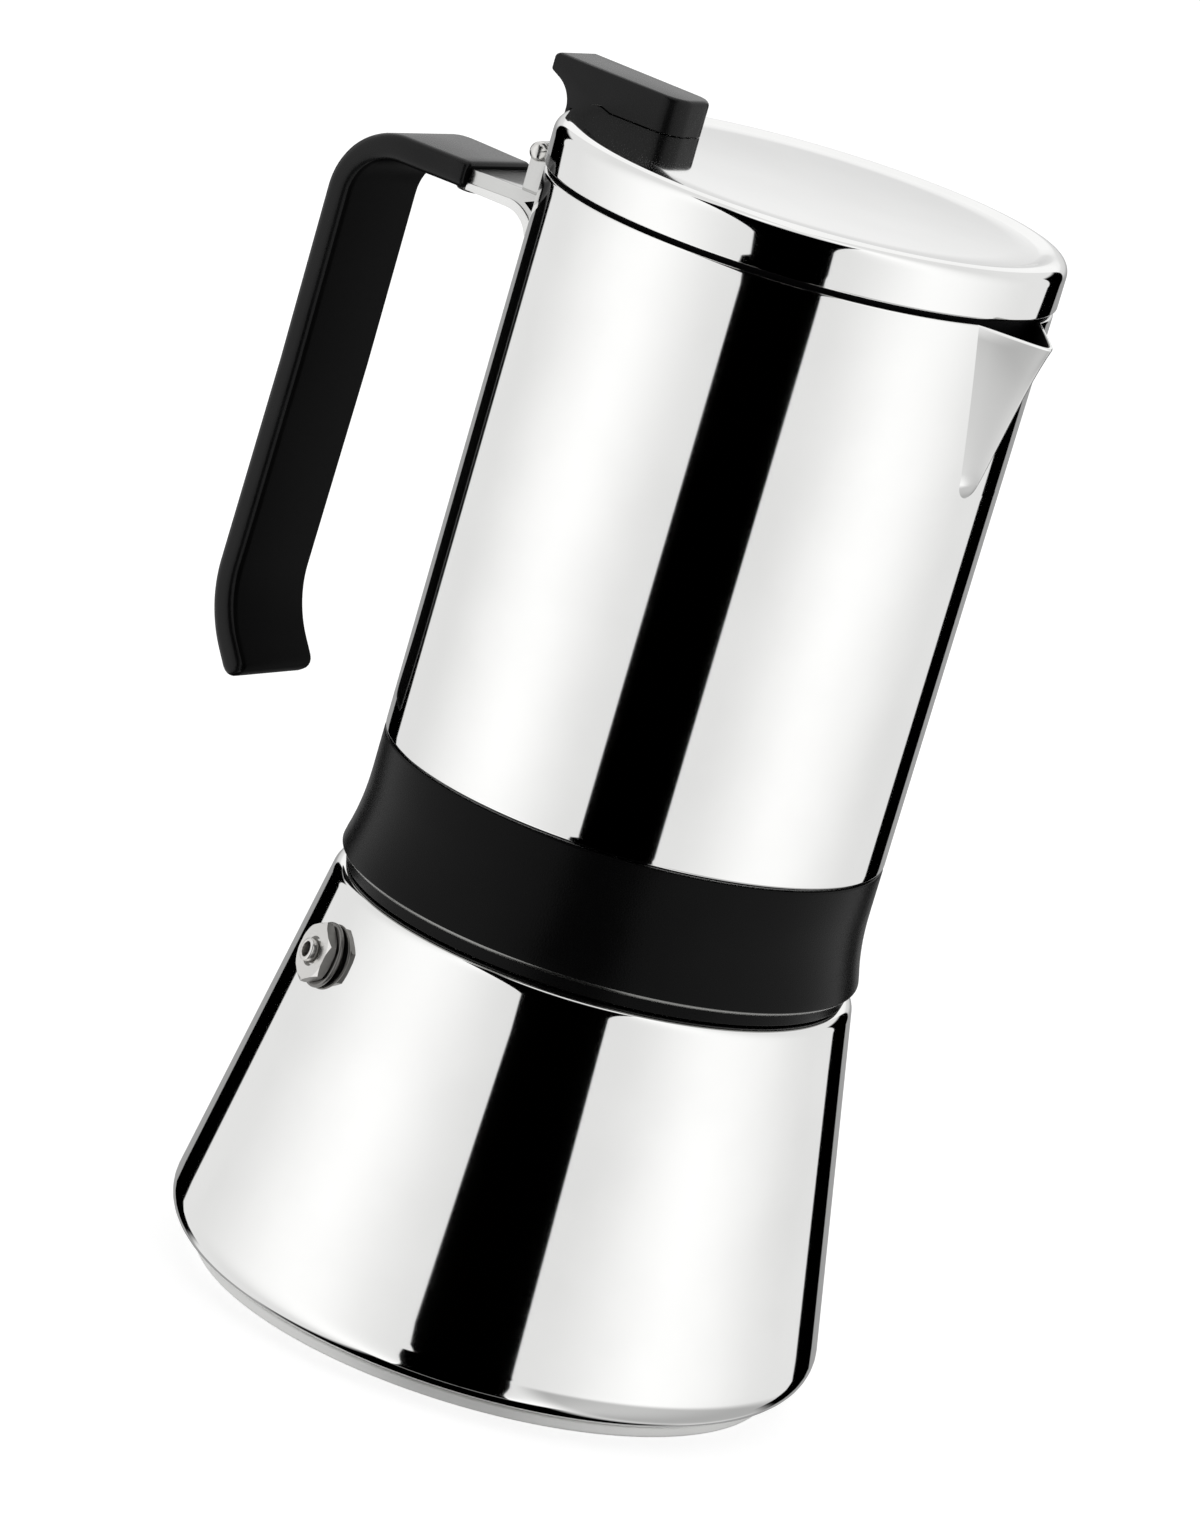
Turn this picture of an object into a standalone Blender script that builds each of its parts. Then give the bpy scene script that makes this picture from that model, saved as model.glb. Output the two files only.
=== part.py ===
"""Stainless steel stovetop moka pot: boiler, funnel, collector with handle, and hinged lid.

Metres, +Z up. The base is centred on the origin, the spout points to +X and the handle to -X.
"""

import math

import bmesh
import bpy
from mathutils import Matrix, Vector

MM = 0.001
FIT = 0.3  # gap between two pieces that touch on the real pot, in mm like every size below
WALL = 1.0  # pressed steel sheet

# Boiler
DISC_RADIUS, DISC_THICKNESS = 54.3, 2.2
BOILER_TOP, BOILER_TOP_RADIUS = 74.9, 47.7
BOILER_FLARE = 0.19  # how much wider the cone gets for each mm further down
BOILER_FOOT_ROUND, BOILER_SHOULDER_ROUND = 6.5, 2.6
MOUTH_RADIUS, NECK_RADIUS, NECK_TOP = 37.0, 39.6, 89.0
THREAD_PITCH, THREAD_DEPTH, THREAD_PLAY = 4.0, 0.9, 1.2

# Funnel and seal
BASKET_RADIUS, BASKET_DEPTH = 34.8, 28.0
TUBE_RADIUS, TUBE_END = 6.0, 8.0
GASKET_THICKNESS, PLATE_THICKNESS = 3.0, 0.8

# Collector
RADIUS = 46.0
RIM = 204.2
FLOOR = 96.0
BAND_TOP, BAND_BOTTOM, BAND_FLARE = 100.2, 77.3, 1.8
BAND_SKIRT = 46.3  # radius of the recessed skirt that closes the gap to the boiler
SPOUT_ROOT, SPOUT_ROOT_ROUND, SPOUT_REACH, SPOUT_DROP, SPOUT_HALF_ANGLE = 174.8, 3.0, 7.7, 1.4, 14.0
COLUMN_TOP, COLUMN_RADIUS = 168.0, 6.2

# Lid
LID_RADIUS, SKIRT_BOTTOM, LID_EDGE, LID_DISH, LID_ROUND = 46.3, 205.2, 213.8, 213.2, 2.8
LID_TOP = [(0, LID_DISH), (38.5, LID_DISH), (41.0, LID_DISH + 0.25)]  # flat inside a low rim

# Hinge
PIN_X, PIN_Z, PIN_RADIUS, PIN_HEAD_RADIUS, EAR_RADIUS = -51.4, 202.5, 0.9, 1.85, 1.9
LEAF_GAP, LEAF_SHEET, LEAF_WIDTH, KNUCKLE_WIDTH, EAR_OUTSIDE = 1.4, 0.8, 9.2, 8.8, 6.8

# Knob
KNOB_BACK, KNOB_FRONT, KNOB_WIDTH, KNOB_BOTTOM, KNOB_TOP = -54.6, -27.0, 12.2, 211.6, 219.9
KNOB_HEEL = 208.1  # the knob reaches down to here over the hinge leaf
KNOB_SCREW_X = -38.0

# Handle
GRIP_THICKNESS, GRIP_WIDTH, GRIP_ROOT_WIDTH = 5.0, 23.2, 21.0
GRIP_ROOT_X, GRIP_ARM_Z, GRIP_X, GRIP_BEND = -63.3, 194.0, -88.3, 10.9
GRIP_KINK_Z, GRIP_END = 103.0, (-81.4, 92.1)
PLATE_DROP = 1.2  # how far the bracket's top plate lies below the grip's top face

# Safety valve
VALVE_HEIGHT, VALVE_ANGLE = 62.5, -121.0
HEX_FLATS, WASHER_RADIUS, VALVE_FACE = 10.0, 6.0, 3.4


def clear_scene():
    for obj in list(bpy.data.objects):
        bpy.data.objects.remove(obj, do_unlink=True)


def material(name, colour, roughness, metallic):
    made = bpy.data.materials.new(name)
    made.use_nodes = True
    shader = made.node_tree.nodes["Principled BSDF"]
    shader.inputs["Base Color"].default_value = (*colour, 1.0)
    shader.inputs["Roughness"].default_value = roughness
    shader.inputs["Metallic"].default_value = metallic
    return made


clear_scene()
cutters = bpy.data.collections.new("cutters")
bpy.context.scene.collection.children.link(cutters)

POLISHED = ((0.80, 0.80, 0.79), 0.08, 1.0)
BRUSHED = ((0.72, 0.72, 0.71), 0.30, 1.0)
BLACK = ((0.02, 0.02, 0.02), 0.38, 0.0)


def new_object(name, mesh, finish=None):
    """An object in millimetre coordinates, scaled to metres. Without a finish it is a cutter or a helper."""
    mesh.transform(Matrix.Scale(MM, 4))
    obj = bpy.data.objects.new(name, mesh)
    if finish is None:
        cutters.objects.link(obj)
        obj.hide_render = True
        obj.display_type = "WIRE"
    else:
        bpy.context.scene.collection.objects.link(obj)
        mesh.materials.append(material(name, *finish))
    return obj


def from_bmesh(name, shape, finish=None):
    mesh = bpy.data.meshes.new(name)
    bmesh.ops.recalc_face_normals(shape, faces=shape.faces)
    shape.to_mesh(mesh)
    shape.free()
    return new_object(name, mesh, finish)


def block(name, low, high, finish=None):
    shape = bmesh.new()
    bmesh.ops.create_cube(shape, size=1.0)
    size = Vector(high) - Vector(low)
    bmesh.ops.scale(shape, vec=size, verts=shape.verts)
    bmesh.ops.translate(shape, vec=(Vector(high) + Vector(low)) / 2, verts=shape.verts)
    return from_bmesh(name, shape, finish)


def rod(name, radius, start, end, finish=None, sides=24, radius_end=None, turn=0.0):
    """A cylinder, cone or prism from one point to another."""
    axis = Vector(end) - Vector(start)
    shape = bmesh.new()
    bmesh.ops.create_cone(
        shape, cap_ends=True, segments=sides, radius1=radius,
        radius2=radius if radius_end is None else radius_end, depth=axis.length,
    )
    pose = axis.to_track_quat("Z", "Y").to_matrix().to_4x4() @ Matrix.Rotation(turn, 4, "Z")
    bmesh.ops.transform(shape, matrix=pose, verts=shape.verts)
    bmesh.ops.translate(shape, vec=(Vector(start) + Vector(end)) / 2, verts=shape.verts)
    return from_bmesh(name, shape, finish)


def arc(centre, radius, start, end, count):
    """Points (r, z) on an arc, angles in degrees from +r towards +z."""
    angles = [math.radians(start + (end - start) * i / count) for i in range(count + 1)]
    return [(centre[0] + radius * math.cos(a), centre[1] + radius * math.sin(a)) for a in angles]


def turned(name, outline, finish=None, steps=48, place=None):
    """A Screw of an outline of (r, z) points that runs down its outer side.

    An outline that starts on the axis ends on it too, and any other is a closed ring."""
    closed = outline[0][0] > 0
    edges = [(i, i + 1) for i in range(len(outline) - 1)]
    if closed:
        edges.append((len(outline) - 1, 0))
    mesh = bpy.data.meshes.new(name)
    mesh.from_pydata([(r, 0.0, z) for r, z in outline], edges, [])
    obj = new_object(name, mesh, finish)
    screw = obj.modifiers.new("turn", "SCREW")
    screw.steps = screw.render_steps = steps
    screw.use_merge_vertices = True
    screw.merge_threshold = 0.00001
    screw.use_smooth_shade = True
    if place is not None:
        obj.matrix_world = place
    return obj


def outline_plate(name, outline, half_width, finish=None, centre_y=0.0):
    """A side outline of (x, z) points, made into a plate across Y."""
    curve = bpy.data.curves.new(name, "CURVE")
    curve.dimensions = "2D"
    curve.fill_mode = "BOTH"
    curve.extrude = half_width
    line = curve.splines.new("POLY")
    line.points.add(len(outline) - 1)
    for point, (x, z) in zip(line.points, outline):
        point.co = (x, z, 0.0, 1.0)
    line.use_cyclic_u = True
    holder = bpy.data.objects.new(name, curve)
    mesh = bpy.data.meshes.new_from_object(holder)
    bpy.data.objects.remove(holder, do_unlink=True)
    shape = bmesh.new()
    shape.from_mesh(mesh)
    bpy.data.meshes.remove(mesh)
    bmesh.ops.remove_doubles(shape, verts=shape.verts, dist=0.001)
    upright = Matrix.Translation((0.0, centre_y, 0.0)) @ Matrix.Rotation(math.pi / 2, 4, "X")
    bmesh.ops.transform(shape, matrix=upright, verts=shape.verts)
    return from_bmesh(name, shape, finish)


def combine(obj, operation, *others):
    for other in others:
        boolean = obj.modifiers.new(f"{operation.lower()} {other.name}", "BOOLEAN")
        boolean.operation = operation
        boolean.solver = "EXACT"
        boolean.object = other


def soften(obj, width, segments=2):
    bevel = obj.modifiers.new("bevel", "BEVEL")
    bevel.width = width * MM
    bevel.segments = segments
    bevel.limit_method = "ANGLE"
    bevel.angle_limit = math.radians(40)


def boiler_radius(z):
    return BOILER_TOP_RADIUS + BOILER_FLARE * (BOILER_TOP - z)


# ---------------------------------------------------------------- boiler

def base_disc():
    edge = arc((DISC_RADIUS - 0.8, 0.8), 0.8, 0, -90, 3)
    turned(
        "base_disc",
        [(0, DISC_THICKNESS), (DISC_RADIUS, DISC_THICKNESS), *edge, (0, 0)],
        BRUSHED, steps=48,
    )


def boiler_outline(inset):
    """Half outline of the cone with its rounded shoulder and foot, moved inwards by inset."""
    bottom = DISC_THICKNESS + FIT
    tilt = math.degrees(math.atan(BOILER_FLARE))
    slant = math.hypot(1, BOILER_FLARE)
    foot_z, shoulder_z = bottom + BOILER_FOOT_ROUND, BOILER_TOP - BOILER_SHOULDER_ROUND
    foot_r = boiler_radius(foot_z) - BOILER_FOOT_ROUND * slant
    shoulder_r = boiler_radius(shoulder_z) - BOILER_SHOULDER_ROUND * slant
    return [
        (0, BOILER_TOP - inset),
        *arc((shoulder_r, shoulder_z), BOILER_SHOULDER_ROUND - inset, 90, tilt, 4),
        *arc((foot_r, foot_z), BOILER_FOOT_ROUND - inset, tilt, -90, 6),
        (0, bottom + inset),
    ]


def boiler_shell():
    shell = turned("boiler_shell", boiler_outline(0.0), POLISHED, steps=52)
    mouth = rod("boiler_mouth", MOUTH_RADIUS, (0, 0, BOILER_TOP - 5), (0, 0, BOILER_TOP + 5), sides=52)
    hole = rod("valve_hole", 4.5, valve_point(-3), valve_point(3), sides=16)
    combine(shell, "DIFFERENCE", turned("boiler_room", boiler_outline(WALL), steps=52), mouth, hole)


def ridges(radius, depth, low, high):
    """Thread crests for an outline that runs down: the radius goes out by depth once in each pitch."""
    points, z = [], high - 1.0
    while z - 2.4 > low:
        points += [(radius, z), (radius + depth, z - 0.9), (radius + depth, z - 1.5), (radius, z - 2.4)]
        z -= THREAD_PITCH
    return points


def boiler_thread_ring():
    bottom = BOILER_TOP + FIT
    turned(
        "boiler_thread_ring",
        [
            (MOUTH_RADIUS, NECK_TOP), (NECK_RADIUS, NECK_TOP),
            *ridges(NECK_RADIUS, THREAD_DEPTH, bottom, NECK_TOP),
            (NECK_RADIUS, bottom), (MOUTH_RADIUS, bottom),
        ],
        BRUSHED, steps=48,
    )


# ---------------------------------------------------------------- safety valve

def valve_frame():
    """Matrix, in mm, whose +Z leaves the boiler wall at right angles at the valve."""
    around = math.radians(VALVE_ANGLE)
    out = Vector((math.cos(around), math.sin(around), BOILER_FLARE)).normalized()
    radius = boiler_radius(VALVE_HEIGHT)
    place = Vector((radius * math.cos(around), radius * math.sin(around), VALVE_HEIGHT))
    return Matrix.Translation(place) @ out.to_track_quat("Z", "Y").to_matrix().to_4x4()


def valve_point(distance):
    return valve_frame() @ Vector((0, 0, distance))


def valve_pose():
    pose = valve_frame()
    pose.translation *= MM
    return pose


def on_valve(name, outline, finish, steps=20):
    return turned(name, outline, finish, steps, place=valve_pose())


def safety_valve():
    cavity, inlet, outlet, inside = 2.6, 1.2, 1.5, -7.0
    on_valve(
        "valve_washer",
        [(4.4, 1.1), (WASHER_RADIUS, 1.1), (WASHER_RADIUS, FIT), (4.4, FIT)], BRUSHED, steps=28,
    )
    hex_radius = HEX_FLATS / math.sqrt(3)
    body = rod(
        "valve_body", hex_radius, valve_point(1.4), valve_point(VALVE_FACE), BRUSHED, sides=6,
    )
    combine(body, "UNION", rod("valve_shank", 4.1, valve_point(inside), valve_point(2.0), sides=20))
    combine(
        body, "DIFFERENCE",
        rod("valve_cavity", cavity, valve_point(inside + 1.0), valve_point(1.9), sides=20),
        rod("valve_inlet", inlet, valve_point(inside - 1), valve_point(inside + 2), sides=20),
        rod("valve_outlet", outlet, valve_point(1), valve_point(3), sides=20),
        rod("valve_recess", 2.7, valve_point(2.5), valve_point(VALVE_FACE + 1), sides=20),
    )
    nut = rod(
        "valve_nut", hex_radius, valve_point(-4.4), valve_point(-1.8), BRUSHED, sides=6,
    )
    combine(nut, "DIFFERENCE", rod("nut_hole", 4.4, valve_point(-6), valve_point(0), sides=20))

    head_bottom = inside + 1.0 + FIT
    on_valve(
        "valve_pin",
        [
            (0, 2.9), (0.8, 2.9), (1.0, 2.7), (1.0, head_bottom + 1.0),
            (2.1, head_bottom + 1.0), (2.1, head_bottom), (0, head_bottom),
        ],
        BRUSHED, steps=16,
    )
    spring("valve_spring", head_bottom + 1.0 + FIT, 1.9 - FIT, 1.75, 0.25, turns=5)


def spring(name, low, high, radius, wire, turns):
    curve = bpy.data.curves.new(name, "CURVE")
    curve.dimensions = "3D"
    curve.bevel_depth = wire
    curve.bevel_resolution = 1
    curve.use_fill_caps = True
    per_turn = 12
    count = turns * per_turn
    line = curve.splines.new("POLY")
    line.points.add(count)
    rise = high - low - 2 * wire
    for i, point in enumerate(line.points):
        angle = 2 * math.pi * i / per_turn
        z = low + wire + rise * i / count
        point.co = (radius * math.cos(angle), radius * math.sin(angle), z, 1.0)
    holder = bpy.data.objects.new(name, curve)
    mesh = bpy.data.meshes.new_from_object(holder)
    bpy.data.objects.remove(holder, do_unlink=True)
    shape = bmesh.new()
    shape.from_mesh(mesh)
    bpy.data.meshes.remove(mesh)
    bmesh.ops.remove_doubles(shape, verts=shape.verts, dist=0.001)
    coil = from_bmesh(name, shape, BRUSHED)
    coil.matrix_world = valve_pose()


# ---------------------------------------------------------------- funnel and seal

def hole_ring_places(reach, spacing):
    """Hole centres on rings around one central hole."""
    places, ring = [(0.0, 0.0)], 1
    while ring * spacing <= reach:
        for i in range(6 * ring):
            angle = 2 * math.pi * i / (6 * ring)
            places.append((ring * spacing * math.cos(angle), ring * spacing * math.sin(angle)))
        ring += 1
    return places


def perforated(name, radius, bottom, reach, spacing, hole, finish):
    plate = rod(
        name, radius, (0, 0, bottom), (0, 0, bottom + PLATE_THICKNESS), finish, sides=48,
    )
    holes = bmesh.new()
    for x, y in hole_ring_places(reach, spacing):
        bmesh.ops.create_cone(
            holes, cap_ends=True, segments=6, radius1=hole, radius2=hole, depth=4.0,
            matrix=Matrix.Translation((x, y, bottom + PLATE_THICKNESS / 2)),
        )
    combine(plate, "DIFFERENCE", from_bmesh(f"{name}_holes", holes))


def funnel():
    sheet = 0.8
    flange = NECK_TOP + FIT
    seat = NECK_TOP - BASKET_DEPTH
    neck, neck_z = TUBE_RADIUS + FIT + sheet, seat - 12.0
    turned(
        "funnel_basket",
        [
            (BASKET_RADIUS - sheet, flange + 1.0), (NECK_RADIUS, flange + 1.0), (NECK_RADIUS, flange),
            (BASKET_RADIUS, flange), (BASKET_RADIUS, seat - 1), (neck, neck_z), (neck, neck_z - 7),
            (neck - sheet, neck_z - 7), (neck - sheet, neck_z + 0.4), (BASKET_RADIUS - 3, seat),
            (BASKET_RADIUS - sheet, seat),
        ],
        POLISHED,
    )
    perforated("funnel_plate", BASKET_RADIUS - sheet - FIT, seat + FIT, 25.0, 8.0, 1.3, BRUSHED)
    turned(
        "funnel_tube",
        [
            (TUBE_RADIUS - sheet, neck_z), (TUBE_RADIUS, neck_z), (TUBE_RADIUS, TUBE_END),
            (TUBE_RADIUS - sheet, TUBE_END),
        ],
        POLISHED, steps=24,
    )


def seal():
    gasket_bottom = NECK_TOP + FIT + 1.0 + FIT
    gasket_top = gasket_bottom + GASKET_THICKNESS
    turned(
        "gasket",
        [(30.0, gasket_top), (40.4, gasket_top), (40.4, gasket_bottom), (30.0, gasket_bottom)],
        ((0.82, 0.80, 0.76), 0.55, 0.0), steps=48,
    )
    perforated("filter_plate", 36.0, gasket_top + FIT, 25.0, 8.0, 1.3, BRUSHED)


# ---------------------------------------------------------------- collector

def spout_wedge(name, shift, stretch):
    """The V of the spout: a hull over a small ball low on the wall, the two rim corners and the tip.

    It is moved along X by shift, and its top is stretched away from the ball."""
    corner = math.radians(SPOUT_HALF_ANGLE)
    root = Vector((RADIUS - 0.9, 0, SPOUT_ROOT))
    side_x, side_y = RADIUS * math.cos(corner), RADIUS * math.sin(corner)
    tops = [
        Vector((RADIUS + SPOUT_REACH, 0, RIM - SPOUT_DROP)),
        Vector((side_x, side_y, RIM)), Vector((side_x, -side_y, RIM)), Vector((RADIUS - 16, 0, RIM)),
    ]
    ball = bmesh.new()
    bmesh.ops.create_uvsphere(
        ball, u_segments=16, v_segments=8, radius=SPOUT_ROOT_ROUND, matrix=Matrix.Translation(root),
    )
    points = [vertex.co.copy() for vertex in ball.verts] + [root + (top - root) * stretch for top in tops]
    ball.free()
    shape = bmesh.new()
    for point in points:
        shape.verts.new(point)
    bmesh.ops.convex_hull(shape, input=shape.verts)
    bmesh.ops.delete(shape, geom=[v for v in shape.verts if not v.link_faces], context="VERTS")
    bmesh.ops.translate(shape, vec=(shift, 0, 0), verts=shape.verts)
    return from_bmesh(name, shape)


def collector_shell():
    step = BAND_TOP + 0.4
    waist = RADIUS - 1.8
    hole = 8.7
    shell = turned(
        "collector_shell",
        [(0, RIM), (RADIUS, RIM), (RADIUS, step), (waist, step), (waist, FLOOR), (0, FLOOR)],
        POLISHED, steps=64,
    )
    room = turned(
        "collector_room",
        [
            (0, RIM + 5), (RADIUS - WALL, RIM + 5), (RADIUS - WALL, step + WALL),
            (waist - WALL, step + WALL), (waist - WALL, FLOOR + WALL), (0, FLOOR + WALL),
        ],
        steps=64,
    )
    combine(shell, "UNION", spout_wedge("spout_outside", 0.0, 1.0))
    combine(
        shell, "DIFFERENCE", room, spout_wedge("spout_inside", -1.2, 1.3),
        rod("column_hole", hole, (0, 0, FLOOR - 2), (0, 0, FLOOR + 3), sides=32),
    )


def collector_collar():
    top, bottom = FLOOR - FIT, BAND_BOTTOM + 0.6
    outside, inside = RADIUS - 1.8, NECK_RADIUS + THREAD_DEPTH + THREAD_PLAY + THREAD_DEPTH
    inner = []
    z = bottom + 1.2
    while z + 2.4 < NECK_TOP:
        crest = inside - THREAD_DEPTH
        inner += [(inside, z), (crest, z + 0.9), (crest, z + 1.5), (inside, z + 2.4)]
        z += THREAD_PITCH
    turned(
        "collector_collar",
        [
            (inside, top), (outside, top), (outside, bottom), (inside, bottom), *inner,
        ],
        BRUSHED, steps=48,
    )


def trim_band():
    flare = RADIUS + BAND_FLARE
    inner = RADIUS - 1.8 + FIT
    turned(
        "trim_band",
        [
            (inner, BAND_TOP), (RADIUS, BAND_TOP), (RADIUS, BAND_TOP - 12), (RADIUS + 0.4, BAND_TOP - 15.5),
            (flare - 0.5, BAND_BOTTOM + 3.4), *arc((flare - 0.9, BAND_BOTTOM + 1.4), 0.9, 20, -70, 3),
            (BAND_SKIRT, BAND_BOTTOM + 0.4), (BAND_SKIRT, BOILER_TOP + FIT), (inner, BOILER_TOP + FIT),
        ],
        BLACK, steps=56,
    )


def column():
    flange = FLOOR + WALL + FIT
    turned(
        "column_tube",
        [
            (COLUMN_RADIUS - WALL, COLUMN_TOP), (COLUMN_RADIUS, COLUMN_TOP), (COLUMN_RADIUS, flange + 40),
            (8.4, flange + 3), (12, flange + 1), (12, flange), (8.4, flange), (8.4, FLOOR),
            (8.4 - WALL, FLOOR), (8.4 - WALL, flange + 3), (COLUMN_RADIUS - WALL, flange + 40),
        ],
        POLISHED, steps=28,
    )
    inside, outside = COLUMN_RADIUS + FIT, COLUMN_RADIUS + FIT + WALL
    cap_low, cap_high = COLUMN_TOP - 8, COLUMN_TOP + 9
    cap = turned(
        "column_cap",
        [
            (0, cap_high), *arc((outside - 3, cap_high - 3), 3, 75, 0, 4), (outside, cap_low),
            (inside, cap_low), (inside, cap_high - 3), (inside - 2, cap_high - WALL), (0, cap_high - WALL),
        ],
        POLISHED, steps=28,
    )
    window = block("cap_windows", (-20, -2.6, COLUMN_TOP + 1.2), (20, 2.6, COLUMN_TOP + 4.6))
    combine(cap, "DIFFERENCE", window)


# ---------------------------------------------------------------- handle

def handle_bracket():
    """Channel welded to the wall: top plate, two cheeks, two hinge ears and a tongue inside the grip."""
    top = GRIP_ARM_Z + GRIP_THICKNESS / 2 - PLATE_DROP
    sheet, half = 1.2, 9.1
    front = -RADIUS + 3
    end = GRIP_ROOT_X + FIT
    bracket = block("handle_bracket", (end, -half, top - sheet), (front, half, top), BRUSHED)
    low = GRIP_ARM_Z - GRIP_THICKNESS / 2
    cheek = [
        (end, top), (end, low), *arc((-53.8, low - 5.6), 5.6, 88, 20, 6), (front, low - 3.4), (front, top),
    ]
    ear = [
        (PIN_X - EAR_RADIUS, top - sheet), *arc((PIN_X, PIN_Z), EAR_RADIUS, 180, 0, 8),
        (PIN_X + EAR_RADIUS, top - sheet),
    ]
    notch, pocket = [(-50.6, low + 1.9), (-48.0, low + 0.4), (-48.0, low + 3.0)], 0.7
    ear_inside = KNUCKLE_WIDTH / 2 + FIT
    ear_middle, ear_half = (EAR_OUTSIDE + ear_inside) / 2, (EAR_OUTSIDE - ear_inside) / 2
    for side, sign in (("near", -1), ("far", 1)):
        combine(
            bracket, "UNION",
            outline_plate(f"cheek_{side}", cheek, sheet / 2, centre_y=sign * (half - sheet / 2)),
            outline_plate(f"ear_{side}", ear, ear_half, centre_y=sign * ear_middle),
        )
    combine(
        bracket, "UNION",
        block("bracket_tongue", (GRIP_ROOT_X - 10, -6, GRIP_ARM_Z - 0.7), (end + 1, 6, GRIP_ARM_Z + 0.7)),
        block("tongue_root", (end, -6, GRIP_ARM_Z - 0.7), (end + 2.5, 6, top)),
    )
    combine(
        bracket, "DIFFERENCE",
        outline_plate("notch_near", notch, pocket, centre_y=-half),
        outline_plate("notch_far", notch, pocket, centre_y=half),
        rod("bracket_wall", RADIUS + FIT, (0, 0, 150), (0, 0, 220), sides=64),
        rod("ear_holes", PIN_RADIUS + FIT, (PIN_X, -20, PIN_Z), (PIN_X, 20, PIN_Z)),
        rod("tongue_hole", 1.8, (GRIP_ROOT_X - 5, 0, 180), (GRIP_ROOT_X - 5, 0, GRIP_ARM_Z + 1.3), sides=16),
    )


def grip_width(x):
    """Half width of the strap: narrow at the bracket, full from the bend on."""
    along = min(1.0, max(0.0, (GRIP_ROOT_X - x) / 15.0))
    return (GRIP_ROOT_WIDTH + (GRIP_WIDTH - GRIP_ROOT_WIDTH) * along) / 2


def handle_grip():
    """A bent strap: its centre line is a ribbon, thickened."""
    bend = (GRIP_X + GRIP_BEND, GRIP_ARM_Z - GRIP_BEND)
    path = [
        (GRIP_ROOT_X, GRIP_ARM_Z), (-65.0, GRIP_ARM_Z), (-70.0, GRIP_ARM_Z),
        *arc(bend, GRIP_BEND, 90, 180, 8),
        (GRIP_X + 0.1, 150.0), (GRIP_X + 0.2, GRIP_KINK_Z + 2), (GRIP_X + 1.2, GRIP_KINK_Z - 2), GRIP_END,
    ]
    strap = bmesh.new()
    rows = [[strap.verts.new((x, sign * grip_width(x), z)) for sign in (-1, 1)] for x, z in path]
    for first, second in zip(rows, rows[1:]):
        strap.faces.new((first[0], first[1], second[1], second[0]))
    grip = from_bmesh("handle_grip", strap, BLACK)
    thick = grip.modifiers.new("thickness", "SOLIDIFY")
    thick.thickness = GRIP_THICKNESS * MM
    thick.offset = 0.0
    thick.use_even_offset = True
    soften(grip, 0.9)
    combine(
        grip, "DIFFERENCE",
        block(
            "tongue_slot", (GRIP_ROOT_X - 10 - FIT, -6 - FIT, GRIP_ARM_Z - 0.7 - FIT),
            (GRIP_ROOT_X + 5, 6 + FIT, GRIP_ARM_Z + 0.7 + FIT),
        ),
        rod("screw_bore", 1.8, (GRIP_ROOT_X - 5, 0, 180), (GRIP_ROOT_X - 5, 0, GRIP_ARM_Z + 1.2), sides=16),
    )


def handle_screw():
    x, low = GRIP_ROOT_X - 5, GRIP_ARM_Z - GRIP_THICKNESS / 2 - FIT
    turned(
        "handle_screw",
        [
            (0, GRIP_ARM_Z + 0.7), (1.5, GRIP_ARM_Z + 0.7), (1.5, low), (3.0, low), (3.0, low - 0.6),
            (2.2, low - 1.6), (0, low - 1.9),
        ],
        BRUSHED, steps=20, place=Matrix.Translation(Vector((x, 0, 0)) * MM),
    )


# ---------------------------------------------------------------- lid

def hinge_pin():
    shaft = EAR_OUTSIDE + FIT
    dome = arc((0, shaft + 0.3), PIN_HEAD_RADIUS, 90, 0, 4)
    upper = [(0, dome[0][1]), *dome[1:], (PIN_HEAD_RADIUS, shaft), (PIN_RADIUS, shaft)]
    lower = [(r, -z) for r, z in reversed(upper)]
    place = Matrix.Translation(Vector((PIN_X, 0, PIN_Z)) * MM) @ Matrix.Rotation(math.pi / 2, 4, "X")
    turned("hinge_pin", [*upper, *lower], POLISHED, steps=16, place=place)


def lid_shell():
    edge = LID_RADIUS - LID_ROUND
    outer = [*LID_TOP, *arc((edge, LID_EDGE - LID_ROUND), LID_ROUND, 90, 0, 4), (LID_RADIUS, SKIRT_BOTTOM)]
    inner = [(r, z - WALL) for r, z in LID_TOP]
    inner += arc((edge, LID_EDGE - LID_ROUND), LID_ROUND - WALL, 90, 0, 3)
    inner.append((LID_RADIUS - WALL, SKIRT_BOTTOM))
    shell = turned("lid_shell", [*outer, *reversed(inner)], POLISHED, steps=60)
    hole = rod("knob_screw_hole", 1.8, (KNOB_SCREW_X, 0, 200), (KNOB_SCREW_X, 0, 220), sides=12)
    combine(shell, "DIFFERENCE", hole)


def lid_liner():
    """Inner pan of the lid with the ring that drops into the collector's mouth."""
    top, sheet = SKIRT_BOTTOM + 4.6, 0.8
    wide, ring = LID_RADIUS - WALL - FIT, RADIUS - WALL - 1.0
    turned(
        "lid_liner",
        [
            (0, top), (wide, top), (wide, SKIRT_BOTTOM + 1.6), (ring, SKIRT_BOTTOM + 1.0),
            (ring, RIM - 3.2), (ring - sheet, RIM - 3.2), (ring - sheet, SKIRT_BOTTOM + 1.6),
            (wide - sheet, SKIRT_BOTTOM + 2.4), (wide - sheet, top - sheet), (0, top - sheet),
        ],
        POLISHED, steps=56,
    )


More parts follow.
